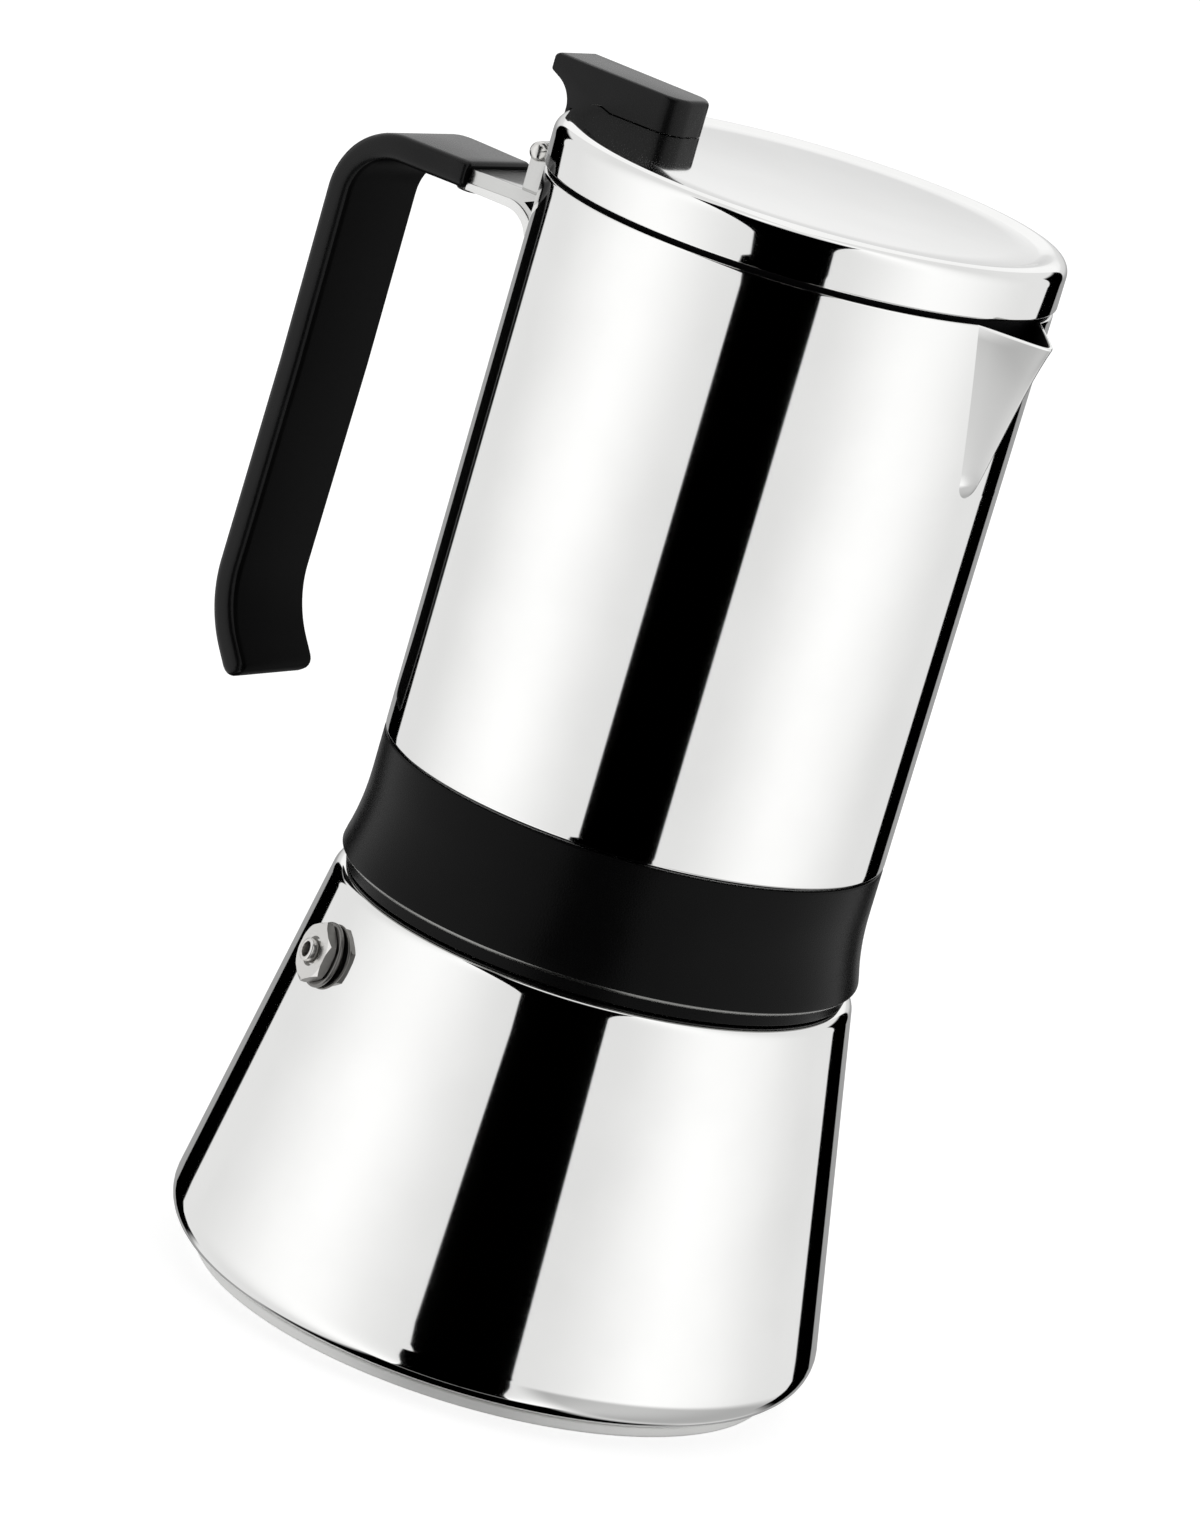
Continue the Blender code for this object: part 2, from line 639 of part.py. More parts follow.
def lid_hinge_leaf():
    """Strap welded to the lid: a knuckle on the pin, a back plate outside the skirt, and a top tongue."""
    plate_out, plate_in = -LID_RADIUS - LEAF_GAP - LEAF_SHEET, -LID_RADIUS - LEAF_GAP
    tongue_low, tongue_high = LID_EDGE + FIT, LID_EDGE + FIT + LEAF_SHEET
    wide = LEAF_WIDTH / 2
    knuckle = KNUCKLE_WIDTH / 2
    leaf = rod("lid_hinge_leaf", EAR_RADIUS, (PIN_X, -knuckle, PIN_Z), (PIN_X, knuckle, PIN_Z), BRUSHED)
    combine(
        leaf, "UNION",
        block("leaf_stem", (plate_out, -knuckle, PIN_Z - 0.6), (plate_in, knuckle, PIN_Z + 5)),
        block("leaf_bridge", (PIN_X + 1, -knuckle, PIN_Z + 0.2), (plate_in, knuckle, PIN_Z + 1.5)),
        block("leaf_plate", (plate_out, -wide, PIN_Z + 2.4), (plate_in, wide, tongue_high)),
        block("leaf_tongue", (plate_out + 0.2, -wide, tongue_low), (KNOB_SCREW_X + 4, wide, tongue_high)),
    )
    combine(
        leaf, "DIFFERENCE",
        rod("knuckle_hole", PIN_RADIUS + FIT, (PIN_X, -20, PIN_Z), (PIN_X, 20, PIN_Z)),
        rod("tongue_screw_hole", 1.8, (KNOB_SCREW_X, 0, 210), (KNOB_SCREW_X, 0, 220), sides=12),
    )


def lid_knob():
    """Wedge on the hinge side of the lid: a lip over the hinge, a thin heel, and room for the tongue."""
    heel_in = -LID_RADIUS - LEAF_GAP - LEAF_SHEET - FIT
    heel_out = heel_in - 0.9
    outline = [
        (KNOB_BACK, KNOB_TOP + 0.2), (KNOB_BACK, KNOB_TOP - 3.2), *arc((-55.2, 210.9), 5.5, 68, 8, 5),
        (heel_out, KNOB_HEEL), (heel_in, KNOB_HEEL), (heel_in, KNOB_BOTTOM),
        (KNOB_FRONT, KNOB_BOTTOM), (KNOB_FRONT, KNOB_TOP),
    ]
    knob = outline_plate("lid_knob", outline, KNOB_WIDTH / 2, BLACK)
    soften(knob, 0.35)
    edge = LID_RADIUS - LID_ROUND
    lid_space = turned(
        "lid_space",
        [
            *((r, z + FIT) for r, z in LID_TOP), *arc((edge, LID_EDGE - LID_ROUND), LID_ROUND + FIT, 90, 0, 5),
            (LID_RADIUS + FIT, 200), (0, 200),
        ],
        steps=60,
    )
    room_top = LID_EDGE + FIT + LEAF_SHEET + FIT
    wide = LEAF_WIDTH / 2 + FIT
    combine(
        knob, "DIFFERENCE", lid_space,
        block("tongue_room", (heel_in, -wide, KNOB_HEEL - 1), (KNOB_SCREW_X + 4 + FIT, wide, room_top)),
        rod("knob_bore", 1.8, (KNOB_SCREW_X, 0, 210), (KNOB_SCREW_X, 0, 218.4), sides=12),
    )


def knob_screw():
    under = LID_DISH - WALL - FIT
    turned(
        "knob_screw",
        [
            (0, 218.0), (1.5, 218.0), (1.5, under), (3.2, under), (3.2, under - 0.8), (2.4, under - 1.4),
            (0, under - 1.6),
        ],
        BRUSHED, steps=16, place=Matrix.Translation(Vector((KNOB_SCREW_X, 0, 0)) * MM),
    )


for build in (
    base_disc, boiler_shell, boiler_thread_ring, safety_valve, funnel, seal, collector_shell,
    collector_collar, trim_band, column, handle_bracket, handle_grip, handle_screw, hinge_pin,
    lid_shell, lid_liner, lid_hinge_leaf, lid_knob, knob_screw,
):
    build()
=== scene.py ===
"""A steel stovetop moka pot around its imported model. Sizes are in mm unless a comment says otherwise."""
import math

import bmesh
import bpy
from mathutils import Matrix, Vector


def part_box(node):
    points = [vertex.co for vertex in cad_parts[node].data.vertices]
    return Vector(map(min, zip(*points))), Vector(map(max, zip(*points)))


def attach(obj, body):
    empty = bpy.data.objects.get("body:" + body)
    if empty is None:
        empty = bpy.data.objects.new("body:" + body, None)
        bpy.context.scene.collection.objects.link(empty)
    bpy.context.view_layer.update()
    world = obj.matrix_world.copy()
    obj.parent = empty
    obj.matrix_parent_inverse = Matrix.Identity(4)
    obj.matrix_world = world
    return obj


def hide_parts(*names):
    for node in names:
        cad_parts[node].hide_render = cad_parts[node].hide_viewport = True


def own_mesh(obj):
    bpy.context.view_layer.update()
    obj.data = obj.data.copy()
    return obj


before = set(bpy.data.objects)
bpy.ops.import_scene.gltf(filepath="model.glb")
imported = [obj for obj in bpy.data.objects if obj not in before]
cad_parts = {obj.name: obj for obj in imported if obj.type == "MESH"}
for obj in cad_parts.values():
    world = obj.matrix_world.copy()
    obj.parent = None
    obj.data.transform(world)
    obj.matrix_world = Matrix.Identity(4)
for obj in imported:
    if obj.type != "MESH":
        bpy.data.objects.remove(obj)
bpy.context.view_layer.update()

scene = bpy.context.scene

# ------------------------------------------------------------------ camera
# A long lens that looks down a little on the pot from the spout's right, rolled so that the pot leans over.
LENS, SENSOR = 162.7, 36.0
CAMERA_AZIMUTH, CAMERA_AWAY, CAMERA_HEIGHT = 30.0, 1.19366, 0.41208  # degrees and metres
LOOK_ASIDE, LOOK_DOWN, ROLL = 0.344, 14.533, 16.406


def turn(degrees, axis):
    return Matrix.Rotation(math.radians(degrees), 4, axis)


lens = bpy.data.cameras.new("camera")
lens.lens, lens.sensor_width = LENS, SENSOR
lens.clip_start, lens.clip_end = 0.05, 50.0
camera = bpy.data.objects.new("camera", lens)
scene.collection.objects.link(camera)
place = turn(CAMERA_AZIMUTH, "Z") @ Matrix.Translation((0.0, -CAMERA_AWAY, CAMERA_HEIGHT))
camera.matrix_world = place @ turn(LOOK_ASIDE, "Z") @ turn(90 - LOOK_DOWN, "X") @ turn(ROLL, "Z")
scene.camera = camera
scene.view_settings.view_transform = "Standard"


# ------------------------------------------------------------------ studio
# Two tall white panels stand left and right of the camera, with black gaps between them and behind them.
# The floor is a wide pale sheet. Mirror steel shows the panels where the floor would be.
GAP_SOFT, GAP_TOP, REAR_GAP_TOP = 0.006, 70.0, 14.0  # a share of the view, and degrees up
PANEL_START, PANEL_FAR, PANEL_END, BACK_PANEL = 20.0, 124.0, 138.0, 158.0  # degrees round from the camera
PANEL_DIM, PANEL_PEAK, PEAK_AT, LOW_DIM = 1.02, 1.36, 66.0, 0.46
# Half of (1 + the direction's height), and the back panel's brightness there: dimmer near the ground.
BACK_STOPS = [(0.44, 0.44), (0.53, 0.88), (0.570, 0.95), (0.596, 1.18), (0.62, 1.25)]
FLOOR_SIDE, FLOOR_DROP = 12.0, 0.0002  # metres


class Wire:
    """One output in a node tree. Sums and products of wires and numbers add Math nodes."""

    def __init__(self, tree, socket=None):
        self.tree, self.socket = tree, socket

    def node(self, kind, settings=None, sockets=None, output=0):
        """A new node: its settings are set first, and then the values or links of its sockets."""
        made = self.tree.nodes.new(kind)
        for name, value in (settings or {}).items():
            if name == "stops":
                ramp = made.color_ramp
                ramp.interpolation = "EASE"
                ramp.elements.remove(ramp.elements[1])
                ramp.elements[0].position = value[0][0]
                for where, _ in value[1:]:
                    ramp.elements.new(where)
                for element, (_, grey) in zip(ramp.elements, value):
                    element.color = (grey, grey, grey, 1.0)
            else:
                setattr(made, name, value)
        for name, value in (sockets or {}).items():
            if isinstance(value, Wire):
                self.tree.links.new(value.socket, made.inputs[name])
            else:
                made.inputs[name].default_value = value
        return Wire(self.tree, made.outputs[output] if len(made.outputs) else None)

    def math(self, operation, first, second=0.0):
        return self.node("ShaderNodeMath", {"operation": operation}, {0: first, 1: second})

    def step(self, low, high, to_low=0.0, to_high=1.0):
        """A smooth step as this value goes from low to high."""
        return self.node(
            "ShaderNodeMapRange", {"interpolation_type": "SMOOTHSTEP"},
            {"Value": self, "From Min": low, "From Max": high, "To Min": to_low, "To Max": to_high},
        )

    def __add__(self, other):
        return self.math("ADD", self, other)

    def __sub__(self, other):
        return self.math("SUBTRACT", self, other)

    def __neg__(self):
        return self.math("MULTIPLY", self, -1.0)

    def __rsub__(self, other):
        return self.math("SUBTRACT", other, self)

    def __mul__(self, other):
        return self.math("MULTIPLY", self, other)

    def __truediv__(self, other):
        return self.math("DIVIDE", self, other)

    __radd__, __rmul__ = __add__, __mul__


def studio_light():
    world = bpy.data.worlds.new("studio")
    scene.world = world
    world.use_nodes = True
    tree = world.node_tree
    tree.nodes.clear()
    start = Wire(tree)
    ray = start.node("ShaderNodeTexCoord", output="Generated")

    def along(axis):
        return ray.node("ShaderNodeVectorMath", {"operation": "DOT_PRODUCT"}, {0: ray, 1: axis}, "Value")

    facing = turn(CAMERA_AZIMUTH, "Z")
    aside, near = (along(facing @ Vector(axis)) for axis in ((1, 0, 0), (0, -1, 0)))
    up = along((0, 0, 1))
    side = ray.math("ABSOLUTE", ray.math("ARCTAN2", aside, near)) * math.degrees(1)
    height = ray.math("ARCSINE", up) * math.degrees(1)
    panel = ray.node(
        "ShaderNodeValToRGB",
        {"stops": [
            (PANEL_START / 180, PANEL_DIM), (PEAK_AT / 180, PANEL_PEAK), (PANEL_FAR / 180, PANEL_DIM),
        ]},
        {"Fac": side / 180},
    )
    # The gap in front narrows downwards, so that it stays straight in the boiler's round foot.
    narrow, low = 1 - up * up * up * up * 0.44, 1 - up.step(-0.32, -0.285)
    left = (-0.345 - up * 0.15) * (1 - low) - narrow * 0.36 * low
    right = ray.math("MINIMUM", up * 0.14 + 0.31, 0.273) * (1 - low) + narrow * 0.264 * low
    ahead = near.step(-0.04, 0.02)
    front_gap = aside.step(left, left + GAP_SOFT) * (1 - aside.step(right - GAP_SOFT, right)) * ahead
    low_gap = (1 - ahead) * (1 - up.step(-0.74, -0.68)) * (1 - ray.math("ABSOLUTE", aside).step(0.25, 0.35))
    back = side.step(BACK_PANEL - 1, BACK_PANEL)
    rear_gap = side.step(PANEL_END, PANEL_END + 1) * (1 - back)
    rear_gap = rear_gap * height.step(-34, -28) * (1 - height.step(REAR_GAP_TOP, REAR_GAP_TOP + 4))
    gap = ray.math("MAXIMUM", front_gap * (1 - height.step(GAP_TOP, GAP_TOP + 5)), rear_gap)
    rear = ray.node("ShaderNodeValToRGB", {"stops": BACK_STOPS}, {"Fac": up * 0.5 + 0.5})
    panel = panel * (1 - aside.step(0.25, 0.45) * up.step(-0.52, -0.34, LOW_DIM, 0.0))
    light = (panel * (1 - back) + rear * back) * (1 - ray.math("MAXIMUM", gap, low_gap))
    seen = ray.node("ShaderNodeLightPath", output="Is Camera Ray")
    strength = light * (1 - seen) + 1.0 * seen
    shade = ray.node("ShaderNodeBackground", sockets={"Strength": strength})
    ray.node("ShaderNodeOutputWorld", sockets={"Surface": shade})


def studio_floor():
    half = FLOOR_SIDE / 2
    mesh = bpy.data.meshes.new("studio_floor")
    corners = [(-half, -half), (half, -half), (half, half), (-half, half)]
    mesh.from_pydata([(x, y, -FLOOR_DROP) for x, y in corners], [], [(0, 1, 2, 3)])
    floor = bpy.data.objects.new("studio_floor", mesh)
    scene.collection.objects.link(floor)
    paper = bpy.data.materials.new("pale_paper")
    paper.use_nodes = True
    shader = paper.node_tree.nodes["Principled BSDF"]
    shader.inputs["Base Color"].default_value = (0.5, 0.5, 0.5, 1.0)
    shader.inputs["Roughness"].default_value = 0.9
    shader.inputs["Specular IOR Level"].default_value = 0.0
    shader.inputs["Emission Color"].default_value = (1.0, 1.0, 1.0, 1.0)
    shader.inputs["Emission Strength"].default_value = 0.72
    mesh.materials.append(paper)
    floor.visible_glossy = False


studio_light()
studio_floor()


# ------------------------------------------------------------------ base disc
# The heavy sandwich disc under the boiler, turned and brushed in rings, brazed to the boiler's bottom.
DISC_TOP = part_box("base_disc")[1].z * 1000
DISC_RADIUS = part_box("base_disc")[1].x * 1000
FINE = 240  # columns round a large turned piece


def blank(name):
    """A new material, its shader and its object coordinates."""
    made = bpy.data.materials.new(name)
    made.use_nodes = True
    place = Wire(made.node_tree).node("ShaderNodeTexCoord", output="Object")
    return made, made.node_tree.nodes["Principled BSDF"], place


def two_tones(mask, dark, light):
    return mask.node("ShaderNodeMix", {"data_type": "RGBA"}, {0: mask, 6: (*dark, 1.0), 7: (*light, 1.0)}, 2)


def surface(made, shader, tone, rough, bump):
    for socket, value in (("Base Color", tone), ("Roughness", rough), ("Normal", bump)):
        made.node_tree.links.new(value.socket, shader.inputs[socket])
    return made


def metal(name, colour, roughness, spread, line_scale, line_depth, wave_depth, tint=0.02):
    """Steel with fine turning lines across Z, uneven polish and a slow waviness of the sheet."""
    made, shader, place = blank(name)
    stretched = place.node(
        "ShaderNodeVectorMath", {"operation": "MULTIPLY"}, {0: place, 1: (30.0, 30.0, line_scale)},
    )
    lines = place.node(
        "ShaderNodeTexNoise", sockets={"Vector": stretched, "Scale": 1.0, "Detail": 3.0, "Roughness": 0.6},
    )
    smudge = place.node("ShaderNodeTexNoise", sockets={"Vector": place, "Scale": 38.0, "Detail": 4.0})
    wave = place.node("ShaderNodeTexNoise", sockets={"Vector": place, "Scale": 16.0, "Detail": 1.0})
    uneven = (lines - 0.5) * spread + (smudge - 0.5) * spread + roughness
    deep = tuple(c * (1 - tint * 2) for c in colour)
    tone = two_tones(smudge.step(0.3, 0.7), deep, colour)
    relief = lines * line_depth + wave * wave_depth
    bump = place.node("ShaderNodeBump", sockets={"Height": relief, "Distance": 0.001, "Strength": 1.0})
    shader.inputs["Metallic"].default_value = 1.0
    return surface(made, shader, tone, uneven, bump)


MIRROR = metal("mirror_polished_steel", (0.93, 0.93, 0.92), 0.045, 0.02, 900.0, 0.0002, 0.0015)
DISC_STEEL = metal("brushed_disc_steel", (0.88, 0.88, 0.87), 0.72, 0.14, 6000.0, 0.010, 0.002, tint=0.05)
SATIN = metal("satin_steel", (0.74, 0.74, 0.73), 0.30, 0.16, 5200.0, 0.012, 0.002, tint=0.06)


def rounded(corners, steps=5, closed=True):
    """A line whose corners (x, z, radius) are rounded. A corner without a radius stays sharp."""
    line = []
    for i, corner in enumerate(corners):
        here = Vector(corner[:2])
        if len(corner) < 3:
            line.append(tuple(here))
            continue
        before = (Vector(corners[i - 1][:2]) - here).normalized()
        after = (Vector(corners[(i + 1) % len(corners)][:2]) - here).normalized()
        half = before.angle(after) / 2
        centre = here + (before + after).normalized() * (corner[2] / math.sin(half))
        first, last = (here + way * (corner[2] / math.tan(half)) - centre for way in (before, after))
        begin = math.atan2(first.y, first.x)
        sweep = (math.atan2(last.y, last.x) - begin + math.pi) % (2 * math.pi) - math.pi
        for k in range(steps + 1):
            angle = begin + sweep * k / steps
            line.append((centre.x + corner[2] * math.cos(angle), centre.y + corner[2] * math.sin(angle)))
    return line


def lathe(outline, columns=FINE):
    """A bmesh turned from a closed line of (radius, z). A line that starts on the axis ends on it."""
    shape = bmesh.new()
    rows = []
    for radius, z in outline:
        count = columns if radius > 1e-6 else 1
        angles = [2 * math.pi * i / columns for i in range(count)]
        rows.append([shape.verts.new((radius * math.cos(a), radius * math.sin(a), z)) for a in angles])
    pairs = list(zip(rows, rows[1:]))
    if outline[0][0] > 1e-6:
        pairs.append((rows[-1], rows[0]))
    for upper, lower in pairs:
        for i in range(columns):
            j = (i + 1) % columns
            ring = [row[k % len(row)] for row, k in ((upper, i), (lower, i), (lower, j), (upper, j))]
            corners = list(dict.fromkeys(ring))
            if len(corners) > 2:
                shape.faces.new(corners)
    return shape


def piece(name, shape, body, slot, finish, *nodes, place=None, sharp=32):
    """Makes the bmesh, in mm, into a piece that rides on a body and stands for these nodes."""
    bmesh.ops.recalc_face_normals(shape, faces=shape.faces)
    mesh = bpy.data.meshes.new(name)
    shape.to_mesh(mesh)
    shape.free()
    mesh.transform(Matrix.Scale(0.001, 4) @ (place or Matrix.Identity(4)))
    mesh.shade_smooth()
    mesh.set_sharp_from_angle(angle=math.radians(sharp))
    for material in finish if isinstance(finish, tuple) else (finish,):
        mesh.materials.append(material)
    made = bpy.data.objects.new(name, mesh)
    scene.collection.objects.link(made)
    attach(made, body)
    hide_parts(*nodes)
    return made


piece(
    "sandwich_base_disc",
    lathe(rounded([
        (0, DISC_TOP), (DISC_RADIUS, DISC_TOP, 0.5), (DISC_RADIUS, 0, 0.7), (DISC_RADIUS - 6, 0),
        (DISC_RADIUS - 6.4, 0.25), (0, 0.25),
    ])),
    "boiler", "brushed_steel", DISC_STEEL, "base_disc",
)


# ------------------------------------------------------------------ boiler
# Deep-drawn steel sheet, flared towards the stove and mirror polished outside, satin inside.
# Its foot and shoulder are round.
FIT, WALL = 0.3, 1.0
BOILER_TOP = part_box("boiler_shell")[1].z * 1000
SHOULDER_RADIUS, FLARE, FOOT_ROUND, SHOULDER_ROUND, MOUTH_RADIUS = 47.7, 0.19, 6.5, 2.6, 37.0
VALVE_HEIGHT, VALVE_ANGLE, VALVE_HOLE = 62.5, -121.0, 4.5


def cone_radius(z):
    return SHOULDER_RADIUS + FLARE * (BOILER_TOP - z)


def boiler_line():
    bottom = DISC_TOP + FIT
    lean = math.hypot(1, FLARE)
    inner = WALL * lean
    side = (66, 60, 40, 20, 14)
    outer_side = [(cone_radius(z), z) for z in side]
    inner_side = [(cone_radius(z) - inner, z) for z in reversed(side)]
    return rounded([
        (MOUTH_RADIUS, BOILER_TOP), (cone_radius(BOILER_TOP), BOILER_TOP, SHOULDER_ROUND), *outer_side,
        (cone_radius(bottom), bottom, FOOT_ROUND), (0, bottom), (0, bottom + WALL),
        (cone_radius(bottom + WALL) - inner, bottom + WALL, FOOT_ROUND - WALL), *inner_side,
        (cone_radius(BOILER_TOP - WALL) - inner, BOILER_TOP - WALL, SHOULDER_ROUND - WALL),
        (MOUTH_RADIUS, BOILER_TOP - WALL),
    ], steps=10)


def valve_pose():
    """Where the valve's axis leaves the wall at right angles."""
    around = math.radians(VALVE_ANGLE)
    out = Vector((math.cos(around), math.sin(around), FLARE)).normalized()
    radius = cone_radius(VALVE_HEIGHT)
    foot = Vector((radius * math.cos(around), radius * math.sin(around), VALVE_HEIGHT))
    return Matrix.Translation(foot) @ out.to_track_quat("Z", "Y").to_matrix().to_4x4()


def combine(shape, operation, other):
    """The bmesh after an exact Boolean with another bmesh."""
    parts = []
    for index, source in enumerate((shape, other)):
        mesh = bpy.data.meshes.new(f"part_{index}")
        bmesh.ops.recalc_face_normals(source, faces=source.faces)
        source.to_mesh(mesh)
        source.free()
        part = bpy.data.objects.new(f"part_{index}", mesh)
        scene.collection.objects.link(part)
        parts.append(part)
    boolean = parts[0].modifiers.new("boolean", "BOOLEAN")
    boolean.operation, boolean.solver, boolean.object = operation, "EXACT", parts[1]
    bpy.context.view_layer.update()
    found = parts[0].evaluated_get(bpy.context.evaluated_depsgraph_get()).to_mesh()
    result = bmesh.new()
    result.from_mesh(found)
    for part in parts:
        mesh = part.data
        bpy.data.objects.remove(part)
        bpy.data.meshes.remove(mesh)
    return result


def boiler():
    shape = lathe(boiler_line())
    made = piece("boiler", shape, "boiler", "polished_steel", (MIRROR, SATIN), "boiler_shell")
    # The inside stays satin.
    for face in made.data.polygons:
        centre = face.center
        radial = Vector((centre.x, centre.y, 0))
        inward = face.normal.dot(radial) < 0 or (face.normal.z > 0.5 and centre.z * 1000 < BOILER_TOP - 5)
        if inward and radial.length * 1000 < cone_radius(centre.z * 1000) - 0.5:
            face.material_index = 1


boiler()


# ------------------------------------------------------------------ boiler neck
# The machined ring that carries the screw thread, welded round the boiler's mouth.
NECK_RADIUS, PITCH, DEPTH = 39.6, 4.0, 0.9
NECK_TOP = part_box("boiler_thread_ring")[1].z * 1000
NECK_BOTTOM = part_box("boiler_thread_ring")[0].z * 1000


def thread_height(angle, z, low, high):
    """How far a rounded right-hand thread stands out here, from 0 to 1, running out at both ends."""
    phase = (z / PITCH - angle / (2 * math.pi)) % 1.0
    crest = min(1.0, max(0.0, 1.65 - abs(phase - 0.5) * 5.5))
    fade = min(1.0, max(0.0, min(z - low, high - z) / 1.2))
    return crest * crest * (3 - 2 * crest) * fade


def threaded(outline, threaded_radius, depth, low, high, columns=192, shift=0.0):
    """A lathe whose rows at one radius are pushed out by a helical thread, or in where depth is below 0."""
    shape = lathe(outline, columns)
    for vertex in shape.verts:
        radius = math.hypot(vertex.co.x, vertex.co.y)
        if abs(radius - threaded_radius) < 1e-4 and low < vertex.co.z < high:
            angle = math.atan2(vertex.co.y, vertex.co.x)
            grown = radius + depth * thread_height(angle, vertex.co.z + shift, low + shift, high + shift)
            vertex.co.x *= grown / radius
            vertex.co.y *= grown / radius
    return shape


def rows_between(high, low, gap=0.3):
    count = max(1, round((high - low) / gap))
    return [high + (low - high) * i / count for i in range(1, count)]


piece(
    "boiler_neck",
    threaded(
        rounded([
            (MOUTH_RADIUS, NECK_TOP, 0.3), (NECK_RADIUS, NECK_TOP, 0.5),
            *((NECK_RADIUS, z) for z in rows_between(NECK_TOP - 0.6, NECK_BOTTOM + 0.6)),
            (NECK_RADIUS, NECK_BOTTOM, 0.4), (MOUTH_RADIUS, NECK_BOTTOM, 0.3),
        ], steps=3),
        NECK_RADIUS, DEPTH, NECK_BOTTOM + 0.8, NECK_TOP - 0.8,
    ),
    "boiler", "brushed_steel", SATIN, "boiler_thread_ring", sharp=50,
)


# ------------------------------------------------------------------ safety valve
# Turned from hexagon bar and held through the wall by a nut inside. A spring keeps its small pin shut.
HEX_RADIUS = 10.0 / math.sqrt(3)
VALVE_FACE, VALVE_INSIDE, CAVITY, SHANK = 3.1, -7.0, 2.6, 4.1
PIN_TRAVEL = 1.5
VALVE_STEEL = metal("turned_valve_steel", (0.78, 0.77, 0.75), 0.22, 0.12, 2500.0, 0.003, 0.004, tint=0.05)
# Dull bar steel, its tone darkened further as painted shade.
DULL_STEEL_AND_PAINTED_SHADE = metal("dull_steel_and_painted_shade", (0.24, 0.235, 0.225), 0.34, 0.20, 2500.0, 0.006, 0.01, tint=0.10)
# Near-black steel used as painted shade in the pin's vent hole, the bracket's cheek pockets and on the
# liner's ring seen through the gap under the lid.
PAINTED_SHADE = metal("painted_shade_black_steel", (0.012, 0.012, 0.013), 0.55, 0.20, 1800.0, 0.004, 0.006, tint=0.10)


def prism(radius, low, high, chamfer=0.5, sides=6):
    """A hexagon bar whose ends are turned to a cone, as a nut's are."""
    bar = bmesh.new()
    bmesh.ops.create_cone(
        bar, cap_ends=True, segments=sides, radius1=radius, radius2=radius, depth=high - low,
    )
    bmesh.ops.translate(bar, vec=(0, 0, (low + high) / 2), verts=bar.verts)
    flats = radius * math.cos(math.pi / sides)
    cone = lathe([
        (0, high), (flats + 0.1, high), (radius + 0.1, high - chamfer), (radius + 0.1, low + chamfer),
        (flats + 0.1, low), (0, low),
    ], 96)
    return combine(bar, "INTERSECT", cone)


